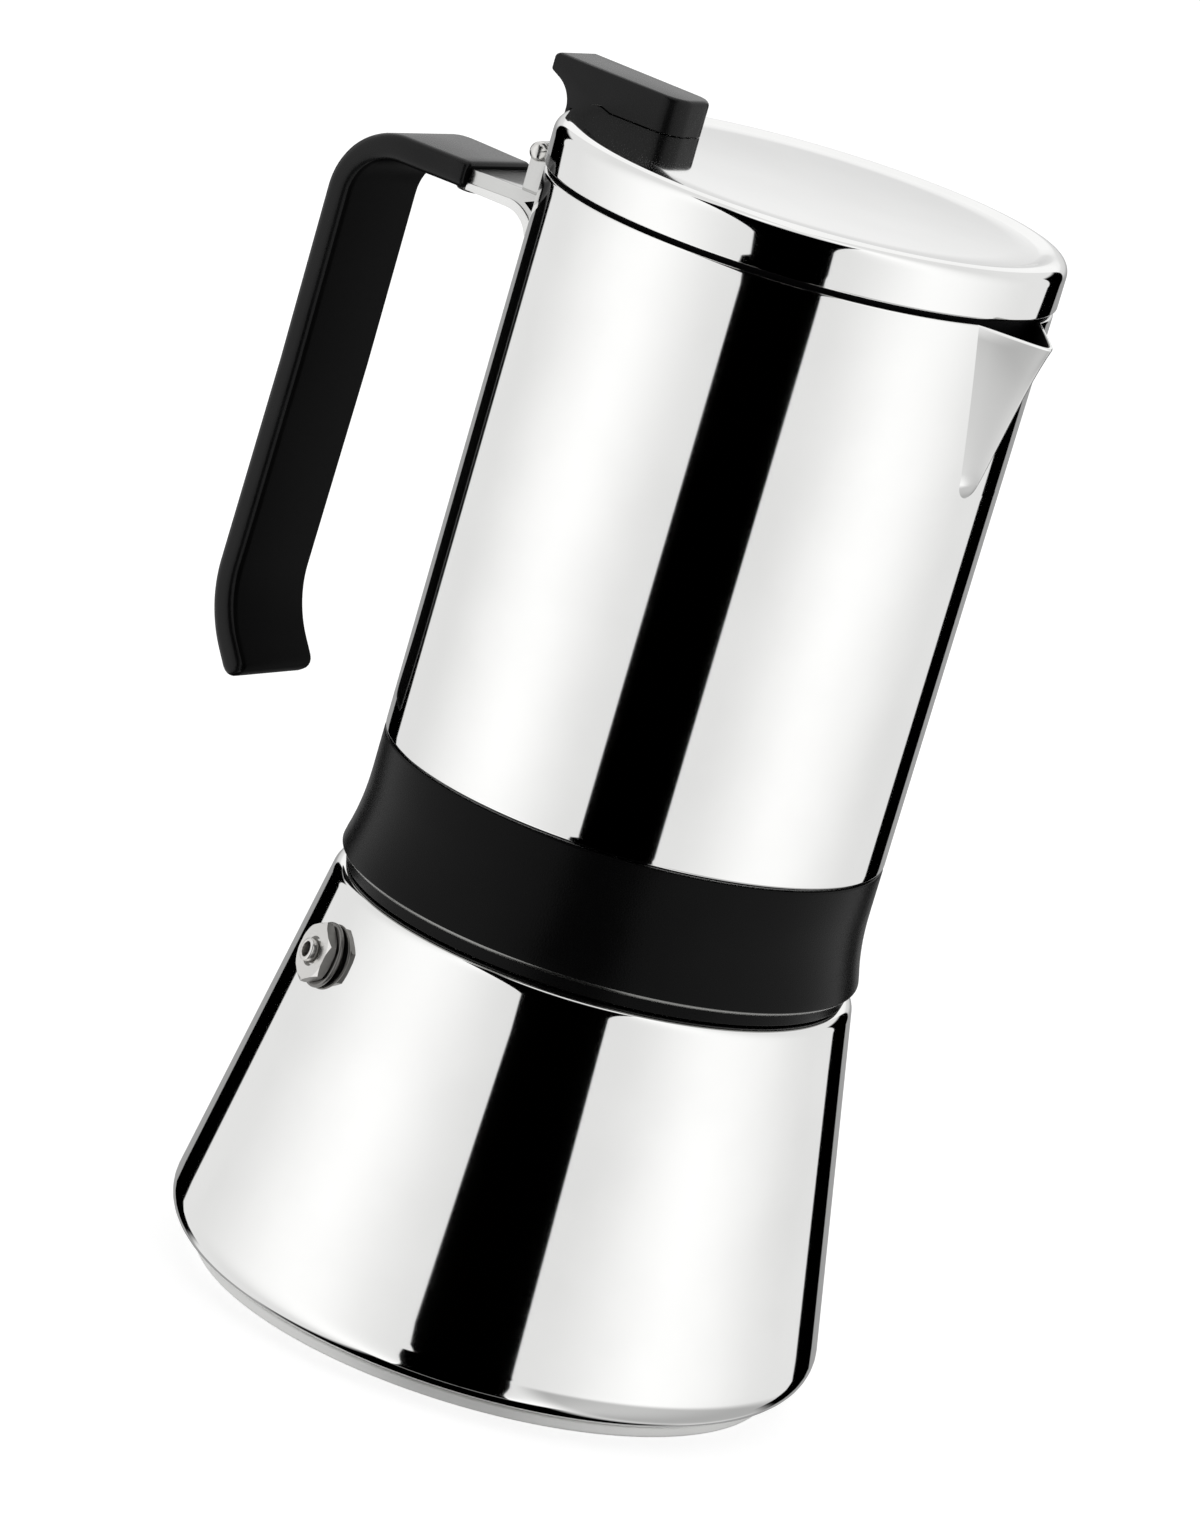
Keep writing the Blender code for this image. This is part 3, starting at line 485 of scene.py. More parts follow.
def safety_valve():
    pose = valve_pose()
    washer = lathe(rounded([
        (4.4, 1.1, 0.2), (6.0, 1.1, 0.4), (6.0, FIT, 0.2), (4.4, FIT, 0.1),
    ], steps=5), 72)
    piece("valve_seat_washer", washer, "boiler", "brushed_steel", DULL_STEEL_AND_PAINTED_SHADE, "valve_washer", place=pose)

    body = prism(HEX_RADIUS, 1.25, VALVE_FACE)
    hidden = [(SHANK - 0.3, z) for z in rows_between(1.9, VALVE_INSIDE + 0.5, 0.2)]
    shank = threaded(
        [(0, 2.0), (SHANK - 0.3, 2.0), *hidden,
         (SHANK - 0.3, VALVE_INSIDE + 0.4), (SHANK - 0.9, VALVE_INSIDE), (0, VALVE_INSIDE)],
        SHANK - 0.3, 0.25, VALVE_INSIDE + 0.5, 1.5, 64,
    )
    body = combine(body, "UNION", shank)
    bore = lathe([
        (0, 6), (2.75, 6), (2.75, VALVE_FACE - 0.1), (2.55, VALVE_FACE - 0.25), (2.55, 2.45), (1.5, 2.45),
        (1.5, 1.9), (CAVITY, 1.9), (CAVITY, VALVE_INSIDE + 1), (1.2, VALVE_INSIDE + 1),
        (1.2, VALVE_INSIDE - 1), (0, VALVE_INSIDE - 1),
    ], 64)
    body = combine(body, "DIFFERENCE", bore)
    made = piece(
        "valve_hexagon", body, "boiler", "brushed_steel", (VALVE_STEEL, DULL_STEEL_AND_PAINTED_SHADE), "valve_body", place=pose,
    )
    axis = pose.to_3x3() @ Vector((0, 0, 1))
    # The hexagon's flats and other faces turned away from the axis take the dull steel, darkened as painted
    # shade; the turned end face stays bright.
    for face in made.data.polygons:
        face.material_index = int(face.normal.dot(axis) < 0.8)

    thread_room = lathe([(0, 0), (4.4, 0), (4.4, -6), (0, -6)], 64)
    nut = combine(prism(HEX_RADIUS, -4.4, -1.8), "DIFFERENCE", thread_room)
    piece("valve_inside_nut", nut, "boiler", "brushed_steel", DULL_STEEL_AND_PAINTED_SHADE, "valve_nut", place=pose)

    seat = VALVE_INSIDE + 1.0 + FIT
    mouth = VALVE_FACE + 1.3
    pin = lathe(rounded([
        (0, 2.75), (1.35, 2.75), (1.4, mouth, 0.12), (2.1, mouth, 0.3), (2.1, 2.6, 0.1), (1.0, 2.6, 0.1),
        (1.0, seat + 1, 0.1), (2.1, seat + 1, 0.15), (2.1, seat, 0.3), (0, seat),
    ], steps=4), 48)
    made = piece(
        "valve_relief_pin", pin, "valve_piston", "brushed_steel", (VALVE_STEEL, PAINTED_SHADE), "valve_pin",
        place=pose,
    )
    # The vent hole down the pin's middle is painted near-black as shade.
    back = pose.inverted()
    for face in made.data.polygons:
        x, y, z = back @ (face.center * 1000)
        face.material_index = int(math.hypot(x, y) < 1.37 and 2.7 < z < mouth - 0.15)

    low, high, wire, coil_radius, turns = seat + 1 + FIT, 1.9 - FIT, 0.25, 1.75, 5
    coil = bmesh.new()
    steps, sides = turns * 36, 10
    rings = []
    for i in range(steps + 1):
        angle = 2 * math.pi * turns * i / steps
        rise = low + wire + (high - low - 2 * wire) * i / steps
        ring = []
        for k in range(sides):
            lean = 2 * math.pi * k / sides
            radius = coil_radius + wire * math.cos(lean)
            ring.append(coil.verts.new((
                radius * math.cos(angle), radius * math.sin(angle), rise + wire * math.sin(lean),
            )))
        rings.append(ring)
    for first, second in zip(rings, rings[1:]):
        for k in range(sides):
            coil.faces.new((first[k], first[(k + 1) % sides], second[(k + 1) % sides], second[k]))
    for ring in (rings[0], rings[-1]):
        coil.faces.new(ring)
    spring = piece(
        "valve_coil_spring", coil, "boiler", "brushed_steel", VALVE_STEEL, "valve_spring", place=pose,
    )
    # The spring would shorten against the body's shoulder as the pin comes out; here it only gets a mesh of
    # its own.
    shoulder = pose @ Vector((0, 0, high)) * 0.001
    keep = (high - low - PIN_TRAVEL) / (high - low)
    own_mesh(spring)


safety_valve()


# ------------------------------------------------------------------ coffee funnel
# A pressed steel basket that hangs in the neck by its flange, with a drilled plate in it.
# A tube is pressed in below and reaches nearly to the boiler's floor.
SHEET, BASKET_RADIUS, TUBE_RADIUS, TUBE_END = 0.8, 34.8, 6.0, 8.0
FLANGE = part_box("funnel_basket")[1].z * 1000 - 1.0
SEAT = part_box("funnel_plate")[0].z * 1000 - FIT
INSIDE_STEEL = metal("drawn_steel_inside", (0.50, 0.50, 0.49), 0.30, 0.14, 1500.0, 0.004, 0.004, tint=0.05)


def drilled_plate(radius, bottom, thickness, reach, spacing, hole):
    """A round plate with rings of small holes, from filled outlines."""
    curve = bpy.data.curves.new("plate", "CURVE")
    curve.dimensions, curve.fill_mode, curve.extrude = "2D", "BOTH", thickness / 2
    places = [(0.0, 0.0, radius, 180), (0.0, 0.0, hole, 14)]
    for ring in range(1, int(reach / spacing) + 1):
        for i in range(6 * ring):
            angle = 2 * math.pi * (i + 0.5 * (ring % 2)) / (6 * ring)
            places.append((ring * spacing * math.cos(angle), ring * spacing * math.sin(angle), hole, 14))
    for x, y, circle, count in places:
        line = curve.splines.new("POLY")
        line.points.add(count - 1)
        for k, point in enumerate(line.points):
            angle = 2 * math.pi * k / count
            point.co = (x + circle * math.cos(angle), y + circle * math.sin(angle), 0.0, 1.0)
        line.use_cyclic_u = True
    holder = bpy.data.objects.new("plate", curve)
    mesh = bpy.data.meshes.new_from_object(holder)
    bpy.data.objects.remove(holder)
    shape = bmesh.new()
    shape.from_mesh(mesh)
    bpy.data.meshes.remove(mesh)
    bmesh.ops.remove_doubles(shape, verts=shape.verts, dist=0.0005)
    bmesh.ops.translate(shape, vec=(0, 0, bottom + thickness / 2), verts=shape.verts)
    return shape


def coffee_funnel():
    neck, neck_z = TUBE_RADIUS + FIT + SHEET, SEAT - 12.0
    basket = lathe(rounded([
        (BASKET_RADIUS - SHEET, FLANGE + 1.0, 0.5), (NECK_RADIUS, FLANGE + 1.0, 0.35),
        (NECK_RADIUS, FLANGE, 0.35), (BASKET_RADIUS, FLANGE, 0.3), (BASKET_RADIUS, SEAT - 1, 2.0),
        (neck, neck_z, 2.5), (neck, neck_z - 7, 0.3), (neck - SHEET, neck_z - 7, 0.3),
        (neck - SHEET, neck_z + 0.4, 1.5), (BASKET_RADIUS - 3, SEAT, 0.8), (BASKET_RADIUS - SHEET, SEAT, 0.1),
    ], steps=4), 180)
    piece("funnel_coffee_basket", basket, "funnel", "polished_steel", INSIDE_STEEL, "funnel_basket")
    plate = drilled_plate(BASKET_RADIUS - SHEET - FIT, SEAT + FIT, SHEET, 30.0, 4.4, 0.75)
    piece("funnel_drilled_plate", plate, "funnel", "brushed_steel", SATIN, "funnel_plate")
    tube = lathe(rounded([
        (TUBE_RADIUS - SHEET, neck_z, 0.2), (TUBE_RADIUS, neck_z, 0.3), (TUBE_RADIUS, TUBE_END, 0.3),
        (TUBE_RADIUS - SHEET, TUBE_END, 0.2),
    ], steps=3), 96)
    piece("funnel_riser_tube", tube, "funnel", "polished_steel", INSIDE_STEEL, "funnel_tube")


coffee_funnel()


# ------------------------------------------------------------------ seal and filter plate
# A soft off-white silicone ring with two raised lips, moulded in one piece.
# It holds a thin drilled plate of steel under the collector.
GASKET_LOW, GASKET_HIGH = (corner.z * 1000 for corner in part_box("gasket"))


def silicone():
    made, shader, place = blank("off_white_silicone")
    cloud = place.node("ShaderNodeTexNoise", sockets={"Vector": place, "Scale": 120.0, "Detail": 5.0})
    grain = place.node("ShaderNodeTexNoise", sockets={"Vector": place, "Scale": 2600.0, "Detail": 2.0})
    tone = two_tones(cloud.step(0.35, 0.65), (0.72, 0.69, 0.62), (0.82, 0.80, 0.75))
    bump = place.node("ShaderNodeBump", sockets={"Height": grain, "Distance": 0.00004, "Strength": 0.5})
    return surface(made, shader, tone, 0.46 + cloud * 0.16, bump)


piece(
    "silicone_sealing_ring",
    lathe(rounded([
        (30.0, GASKET_HIGH, 0.5), (31.4, GASKET_HIGH, 0.4), (32.2, GASKET_HIGH - 0.45, 0.4),
        (37.8, GASKET_HIGH - 0.45, 0.4), (38.6, GASKET_HIGH, 0.4), (40.4, GASKET_HIGH, 0.6),
        (40.4, GASKET_LOW, 0.6), (30.0, GASKET_LOW, 0.5),
    ], steps=4), 192),
    "seal", "silicone", silicone(), "gasket",
)
FILTER_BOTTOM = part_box("filter_plate")[0].z * 1000
piece(
    "drilled_filter_plate", drilled_plate(36.0, FILTER_BOTTOM, SHEET, 29.5, 3.6, 0.6),
    "filter", "brushed_steel", SATIN, "filter_plate",
)


# ------------------------------------------------------------------ collector
# The upper jug: a straight drawn wall, mirror polished, with a V pressed out of it for the spout.
RADIUS, FLOOR, STEP = 46.0, 96.0, 100.6
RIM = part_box("collector_shell")[1].z * 1000
SPOUT_FOOT, SPOUT_FOOT_HALF, SPOUT_HALF_ANGLE, SPOUT_REACH, SPOUT_DROP = 173.0, 3.0, 13.6, 7.7, 1.4
CREASE, SPREAD = 10, 26  # columns from the spout's middle to its crease, and to where columns are even again


def spout_share(z):
    """0 at the spout's foot and 1 at the rim."""
    return min(1.0, max(0.0, (z - SPOUT_FOOT) / (RIM - SPOUT_FOOT)))


def crease_half_width(z):
    """Half the width of the pressed V in mm: a small round foot that opens in straight lines."""
    foot, up = SPOUT_FOOT_HALF, max(0.0, z - SPOUT_FOOT)
    if up < foot:
        return max(0.25, math.sqrt(max(0.0, foot ** 2 - (foot - up) ** 2)))
    top = RADIUS * math.sin(math.radians(SPOUT_HALF_ANGLE))
    return foot + (top - foot) * (up - foot) / (RIM - SPOUT_FOOT - foot)


def press_spout(shape):
    """Moves the wall's columns so that they follow the V, and pushes those inside it out to a soft ridge."""
    step = 2 * math.pi / FINE
    for vertex in shape.verts:
        x, y, z = vertex.co
        radius = math.hypot(x, y)
        column = math.atan2(y, x) / step
        if radius < RADIUS - 3 or abs(column) > SPREAD:
            continue
        side = math.copysign(1.0, column)
        half = math.asin(crease_half_width(max(z, SPOUT_FOOT)) / RADIUS)
        if abs(column) >= CREASE - 0.01:
            share = (abs(column) - CREASE) / (SPREAD - CREASE)
            angle = side * (half + share * (SPREAD * step - half))
            vertex.co.x, vertex.co.y = radius * math.cos(angle), radius * math.sin(angle)
            continue
        across = (abs(column) / CREASE) ** 1.6
        edge_x, edge_y = radius * math.cos(half), radius * math.sin(half)
        soft = 0.16
        bend = (math.sqrt(across * across + soft * soft) - soft) / (math.sqrt(1 + soft * soft) - soft)
        share = spout_share(z)
        rise = max(0.0, z - SPOUT_FOOT)
        swell = 1.1 * (1 - math.exp(-rise / 1.1)) * (1 - share)
        reach = SPOUT_REACH * (0.93 * share + 0.07 * share ** 6) + swell
        sagitta = radius - edge_x
        if z < SPOUT_FOOT:
            angle = side * half * across
            vertex.co.x, vertex.co.y = radius * math.cos(angle), radius * math.sin(angle)
            continue
        vertex.co.x = edge_x + (sagitta + reach) * (1 - bend)
        vertex.co.y = side * edge_y * across
        vertex.co.z = z - SPOUT_DROP * (1 - bend) * share ** 4


def collector():
    waist = RADIUS - 1.8
    column_hole = 8.7
    climb = rows_between(RIM - 0.9, SPOUT_FOOT, 1.5)
    foot = [SPOUT_FOOT + up for up in (2.6, 2.1, 1.6, 1.15, 0.75, 0.45, 0.2, 0.06, 0.0)]
    rows = sorted({round(z, 3) for z in (*climb, *foot, 172.0, 160.0, 140.0, 120.0, 102.2)}, reverse=True)
    shape = lathe(rounded([
        (RADIUS, RIM, 0.55), *((RADIUS, z) for z in rows), (RADIUS, STEP, 0.5), (waist, STEP),
        (waist, FLOOR, 0.8), (column_hole, FLOOR), (column_hole, FLOOR + WALL),
        (waist - WALL, FLOOR + WALL, 0.4),
        (waist - WALL, STEP + WALL), (RADIUS - WALL, STEP + WALL, 0.2),
        *((RADIUS - WALL, z) for z in reversed(rows)), (RADIUS - WALL, RIM, 0.3),
    ], steps=9))
    press_spout(shape)
    made = piece(
        "collector_jug", shape, "collector", "polished_steel", (MIRROR, INSIDE_STEEL), "collector_shell",
        sharp=14,
    )
    for face in made.data.polygons:
        centre, normal = face.center, face.normal
        inward = normal.x * centre.x + normal.y * centre.y < -1e-6
        on_floor = normal.z > 0.7 and centre.z * 1000 < FLOOR + 24
        face.material_index = int(inward or on_floor)


collector()


# ------------------------------------------------------------------ collector collar and trim band
# The threaded steel collar is welded under the collector, with a helical thread that matches the neck's.
# A moulded black band is pressed over it and flares to its foot.
COLLAR_LOW, COLLAR_HIGH = (corner.z * 1000 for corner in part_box("collector_collar"))
BAND_LOW, BAND_HIGH = (corner.z * 1000 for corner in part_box("trim_band"))
BAND_FLARE, BAND_EDGE, BAND_SKIRT = 1.8, 77.3, 46.3  # a recessed skirt below the flared edge


def black_plastic(name, roughness, gloss, dark=0.0030, light=0.0055, grain=0.00003):
    """Moulded black plastic with a fine grain, faint flow clouds and slightly polished high spots."""
    made, shader, place = blank(name)
    pits = place.node("ShaderNodeTexNoise", sockets={"Vector": place, "Scale": 3200.0, "Detail": 2.0})
    cloud = place.node("ShaderNodeTexNoise", sockets={"Vector": place, "Scale": 55.0, "Detail": 4.0})
    tone = two_tones(cloud.step(0.3, 0.7), (dark, dark, dark * 1.04), (light, light, light * 1.03))
    rough = roughness + (cloud - 0.5) * 0.10 + (pits - 0.5) * 0.08
    bump = place.node("ShaderNodeBump", sockets={"Height": pits, "Distance": grain, "Strength": 0.6})
    shader.inputs["Specular IOR Level"].default_value = gloss
    return surface(made, shader, tone, rough, bump)


BLACK = black_plastic("satin_black_plastic", 0.26, 0.21)
DEEP_BLACK = black_plastic("smooth_black_plastic", 0.27, 0.09, 0.0012, 0.0022)
# Grey metal that stands in for a painted highlight line along the band's lower lip.
PAINTED_HIGHLIGHT_LIP = metal("painted_highlight_lip", (0.32, 0.32, 0.31), 0.25, 0.10, 900.0, 0.001, 0.002, tint=0.06)


def collar_and_band():
    outside, inside = RADIUS - 1.8, NECK_RADIUS + DEPTH + 1.2 + DEPTH
    collar = threaded(
        rounded([
            (inside, COLLAR_HIGH, 0.3), (outside, COLLAR_HIGH, 0.3), (outside, COLLAR_LOW, 0.4),
            (inside, COLLAR_LOW, 0.4),
            *((inside, z) for z in reversed(rows_between(NECK_TOP, COLLAR_LOW + 0.6))),
        ], steps=3),
        inside, -DEPTH, COLLAR_LOW + 0.6, NECK_TOP, shift=PITCH / 2,
    )
    piece(
        "collector_thread_collar", collar, "collector", "brushed_steel", SATIN, "collector_collar", sharp=50,
    )

    inner = RADIUS - 1.8 + FIT
    flare_top = BAND_HIGH - 8.0
    flare = []
    for i in range(13):
        down = i / 12
        z = flare_top + (BAND_EDGE + 1.2 - flare_top) * down
        flare.append((RADIUS + BAND_FLARE * down ** 2.2, z))
    band = lathe(rounded([
        (inner, BAND_HIGH, 0.2), (RADIUS, BAND_HIGH, 0.45), *flare[:-1],
        (RADIUS + BAND_FLARE, BAND_EDGE + 0.9, 0.5), (RADIUS + BAND_FLARE - 0.9, BAND_EDGE, 0.45),
        (BAND_SKIRT, BAND_EDGE + 0.3, 0.2), (BAND_SKIRT, BAND_LOW, 0.2), (inner, BAND_LOW, 0.2),
    ], steps=4))
    made = piece("black_trim_band", band, "collector", "black_plastic", (DEEP_BLACK, PAINTED_HIGHLIGHT_LIP), "trim_band")
    # The downward faces of the flared lip get the grey metal as a painted highlight line.
    for face in made.data.polygons:
        x, y, z = face.center * 1000
        lip = BAND_EDGE - 0.1 < z < BAND_EDGE + 0.95 and math.hypot(x, y) > RADIUS + 0.8
        face.material_index = int(lip and face.normal.z < -0.1)


collar_and_band()


# ------------------------------------------------------------------ coffee column
# The drawn steel riser in the middle of the collector, flanged at its foot and welded there.
# A loose steel cap on its top is slotted on both sides.
COLUMN_RADIUS, COLUMN_TOP = 6.2, 168.0


def coffee_column():
    flange = FLOOR + WALL + FIT
    tube = lathe(rounded([
        (COLUMN_RADIUS - WALL, COLUMN_TOP, 0.3), (COLUMN_RADIUS, COLUMN_TOP, 0.4),
        (COLUMN_RADIUS, flange + 40, 20),
        (8.4, flange + 3, 2.0), (12, flange + 1, 0.3), (12, flange, 0.3), (8.4, flange), (8.4, FLOOR, 0.2),
        (8.4 - WALL, FLOOR, 0.2), (8.4 - WALL, flange + 3, 2.0), (COLUMN_RADIUS - WALL, flange + 40, 20),
    ], steps=5), 96)
    piece("column_riser", tube, "collector", "polished_steel", INSIDE_STEEL, "column_tube")
    inside = COLUMN_RADIUS + FIT
    outside = inside + WALL
    low, high = COLUMN_TOP - 8, COLUMN_TOP + 9
    cap = lathe(rounded([
        (0, high), (outside, high, 3.0), (outside, low, 0.3), (inside, low, 0.3), (inside, high - WALL, 2.0),
        (0, high - WALL),
    ], steps=6), 96)
    slot = bmesh.new()
    bmesh.ops.create_cube(slot, size=1.0)
    bmesh.ops.scale(slot, vec=(40, 5.2, 3.4), verts=slot.verts)
    bmesh.ops.bevel(
        slot, geom=[e for e in slot.edges if abs((e.verts[0].co - e.verts[1].co).x) > 1], offset=1.2,
        segments=4, affect="EDGES", profile=0.5,
    )
    bmesh.ops.translate(slot, vec=(0, 0, COLUMN_TOP + 2.9), verts=slot.verts)
    cap = combine(cap, "DIFFERENCE", slot)
    piece("column_slotted_cap", cap, "collector", "polished_steel", MIRROR, "column_cap")


coffee_column()


# ------------------------------------------------------------------ handle bracket
# Folded steel sheet, spot welded to the jug's wall: a top plate with two cheeks and rolled lower edges.
# Two ears on the plate hold the hinge, and a tongue holds the grip.
ROOT_X, ARM_Z, ARM_THICK = -63.3, 194.0, 5.0
PLATE_TOP, BRACKET_HALF, BRACKET_SHEET = ARM_Z + ARM_THICK / 2 - 1.2, 9.1, 1.2
PIN_X, PIN_Z = (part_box("hinge_pin")[0].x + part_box("hinge_pin")[1].x) * 500, 202.5
EAR_RADIUS, EAR_OUTSIDE, KNUCKLE_HALF, PIN_RADIUS = 1.9, 6.8, 4.4, 0.9


def slab(outline, low, high, across="Y"):
    """A plate cut from a closed line: (x, z) points across Y, or (x, y) points across Z."""
    shape = bmesh.new()
    sides = []
    for depth in (low, high):
        points = [(a, depth, b) if across == "Y" else (a, b, depth) for a, b in outline]
        sides.append([shape.verts.new(point) for point in points])
    shape.faces.new(sides[0])
    shape.faces.new(reversed(sides[1]))
    count = len(outline)
    for i in range(count):
        j = (i + 1) % count
        shape.faces.new((sides[0][i], sides[0][j], sides[1][j], sides[1][i]))
    return shape


def round_edges(shape, radius, segments=3, within=None, angle=30.0):
    """Rounds the bmesh's sharp edges, or only those that within() picks."""
    bmesh.ops.recalc_face_normals(shape, faces=shape.faces)
    edges = [e for e in shape.edges if len(e.link_faces) == 2 and e.calc_face_angle() > math.radians(angle)]
    if within:
        edges = [e for e in edges if within(*(v.co for v in e.verts))]
    bmesh.ops.bevel(
        shape, geom=edges, offset=radius, segments=segments, affect="EDGES", profile=0.5, clamp_overlap=True,
    )
    return shape


def dowel(radius, low, high, x, z, columns=48):
    """A cylinder along Y."""
    shape = lathe([(0, high), (radius, high), (radius, low), (0, low)], columns)
    bmesh.ops.rotate(shape, matrix=Matrix.Rotation(-math.pi / 2, 3, "X"), verts=shape.verts)
    bmesh.ops.translate(shape, vec=(x, 0, z), verts=shape.verts)
    return shape


def arc(centre, radius, start, end, count):
    angles = [math.radians(start + (end - start) * i / count) for i in range(count + 1)]
    return [(centre[0] + radius * math.cos(a), centre[1] + radius * math.sin(a)) for a in angles]


def bracket():
    end, low = ROOT_X + FIT, ARM_Z - ARM_THICK / 2
    half, wall = BRACKET_HALF, RADIUS + 0.15
    reach = math.degrees(math.asin(half / wall))
    plan = [(end, -half), *arc((0, 0), wall, 180 + reach, 180 - reach, 16), (end, half)]
    shape = slab(plan, PLATE_TOP - BRACKET_SHEET, PLATE_TOP, "Z")
    front = -math.sqrt(wall ** 2 - half ** 2)
    fold = (-53.8, low - 5.6)
    lower_edge = [(end, low), *arc(fold, 5.6, 88, 20, 14), (front, low - 3.4)]
    cheek = [(end, PLATE_TOP), *lower_edge, (front, PLATE_TOP)]
    rim = [*lower_edge, (front, low - 0.2), *arc(fold, 7.2, 36, 88, 12), (end, low + 1.3)]
    pocket = [(-50.6, low + 1.9), (-48.0, low + 0.4), (-48.0, low + 3.0)]
    ear = [
        (PIN_X - EAR_RADIUS, PLATE_TOP - 0.6), *arc((PIN_X, PIN_Z), EAR_RADIUS, 180, 0, 20),
        (PIN_X + EAR_RADIUS, PLATE_TOP - 0.6),
    ]
    for side in (-1, 1):
        shown = (
            (cheek, half - BRACKET_SHEET, half), (rim, half - 0.5, half + 0.45),
            (ear, KNUCKLE_HALF + FIT, EAR_OUTSIDE),
        )
        for line, inner, outer in shown:
            shape = combine(shape, "UNION", slab(line, *sorted((side * inner, side * outer))))
    tongue = [
        (ROOT_X - 10, ARM_Z - 0.7), (end + 2.5, ARM_Z - 0.7), (end + 2.5, PLATE_TOP - 0.4),
        (end, PLATE_TOP - 0.4), (end, ARM_Z + 0.7), (ROOT_X - 10, ARM_Z + 0.7),
    ]
    shape = combine(shape, "UNION", slab(tongue, -6, 6))
    bmesh.ops.dissolve_limit(shape, angle_limit=0.01, verts=shape.verts, edges=shape.edges)
    round_edges(shape, 0.22, 2)
    shape = combine(shape, "DIFFERENCE", dowel(PIN_RADIUS + 0.1, -20, 20, PIN_X, PIN_Z))
    for side in (-1, 1):
        shape = combine(shape, "DIFFERENCE", slab(pocket, *sorted((side * (half - 0.7), side * (half + 1)))))
    finish = (BRACKET_STEEL, PAINTED_SHADE, ROLLED_EDGE)
    made = piece("welded_handle_bracket", shape, "collector", "brushed_steel", finish, "handle_bracket")
    # The pockets cut into the cheeks are painted near-black inside as shade; faces outside the cheeks take
    # the rolled edge steel.
    for face in made.data.polygons:
        x, y, z = face.center * 1000
        if -50.7 < x < -47.9 and low + 0.3 < z < low + 3.1 and half - 0.75 < abs(y) < half - 0.05:
            face.material_index = 1
        elif abs(y) > half + 0.1:
            face.material_index = 2


ROLLED_EDGE = metal("rolled_edge_steel", (0.80, 0.80, 0.79), 0.24, 0.12, 1800.0, 0.004, 0.006, tint=0.05)
BRACKET_STEEL = metal("bracket_steel", (0.62, 0.62, 0.61), 0.20, 0.12, 1800.0, 0.004, 0.006, tint=0.05)
bracket()


# ------------------------------------------------------------------ handle grip
# A moulded black strap that reaches out from the bracket and bends down, screwed up to the bracket's tongue.
GRIP_WIDTH, GRIP_ROOT_WIDTH, GRIP_X, GRIP_BEND = 23.2, 21.4, -88.3, 10.9
KINK_Z, GRIP_END, GRIP_EDGE = 103.0, (-81.4, 92.0), 1.9


def strap_path():
    """Points down the middle of the strap, about a millimetre apart where it bends."""
    corners = [
        (ROOT_X, ARM_Z), (GRIP_X, ARM_Z, GRIP_BEND), (GRIP_X, 150.0), (GRIP_X - 0.9, KINK_Z, 24.0), GRIP_END,
    ]
    points = [Vector(p) for p in rounded(corners, steps=18)]
    line = [points[0]]
    for point in points[1:]:
        gap = (point - line[-1]).length
        start = line[-1]
        for i in range(1, math.ceil(gap / 3.0) + 1):
            line.append(start.lerp(point, i / math.ceil(gap / 3.0)))
    return line


SHADED_BLACK = black_plastic("painted_shade_black_plastic", 0.42, 0.025, 0.0012, 0.0022)


def grip():
    path = strap_path()
    length = [0.0]
    for first, second in zip(path, path[1:]):
        length.append(length[-1] + (second - first).length)
    shape = bmesh.new()
    rings = []
    # How far from each end, and how much thinner.
    root = [(0.0, 0.75), (0.12, 0.4), (0.45, 0.12), (0.9, 0.0)]
    tip = [(0.0, 1.95), (0.12, 1.35), (0.4, 0.85), (0.85, 0.42), (1.5, 0.12), (2.3, 0.0)]
    stations = [*root, *((s, 0.0) for s in length if 1.5 < s < length[-1] - 3)]
    stations += [(length[-1] - far, thin) for far, thin in reversed(tip)]
    for far, thin in stations:
        i = min(len(path) - 2, max(0, sum(s <= far for s in length) - 1))
        share = (far - length[i]) / (length[i + 1] - length[i])
        middle = path[i].lerp(path[i + 1], share)
        before, after = path[max(0, i - 1)], path[min(len(path) - 1, i + 2)]
        along = (after - before).normalized()
        out = Vector((-along.y, along.x))
        wide = min(1.0, max(0.0, far / 15.0))
        wide = wide * wide * (3 - 2 * wide)
        half_wide = (GRIP_ROOT_WIDTH + (GRIP_WIDTH - GRIP_ROOT_WIDTH) * wide) / 2 - thin
        half_thick = ARM_THICK / 2 - thin
        ring = []
        corner = max(0.12, GRIP_EDGE - thin)
        section = rounded([
            (half_wide, half_thick, corner), (-half_wide, half_thick, corner),
            (-half_wide, -half_thick, corner), (half_wide, -half_thick, corner),
        ], steps=5)
        for across, up in section:
            centre = middle + out * up
            ring.append(shape.verts.new((centre.x, across, centre.y)))
        rings.append(ring)
    for first, second in zip(rings, rings[1:]):
        for k in range(len(first)):
            j = (k + 1) % len(first)
            shape.faces.new((first[k], first[j], second[j], second[k]))
    shape.faces.new(rings[0])
    shape.faces.new(reversed(rings[-1]))
    slot = [(ROOT_X - 10 - FIT, ARM_Z - 1.0), (ROOT_X + 5, ARM_Z - 1.0), (ROOT_X + 5, ARM_Z + 1.0),
            (ROOT_X - 10 - FIT, ARM_Z + 1.0)]
    shape = combine(shape, "DIFFERENCE", slab(slot, -6.3, 6.3))
    bore = lathe([(0, ARM_Z + 1.2), (1.8, ARM_Z + 1.2), (1.8, 180), (0, 180)], 32)
    bmesh.ops.translate(bore, vec=(ROOT_X - 5, 0, 0), verts=bore.verts)
    shape = combine(shape, "DIFFERENCE", bore)
    made = piece(
        "black_strap_grip", shape, "collector", "black_plastic", (BLACK, SHADED_BLACK), "handle_grip",
        sharp=40,
    )
    # The strap's broad faces get a darker, less glossy copy of the plastic as painted shade, apart from the
    # top of the arm.
    for face in made.data.polygons:
        below = face.center.z * 1000 < KINK_Z + 12
        face.material_index = int(abs(face.normal.y) < 0.6 and (below or face.normal.z < 0.3))


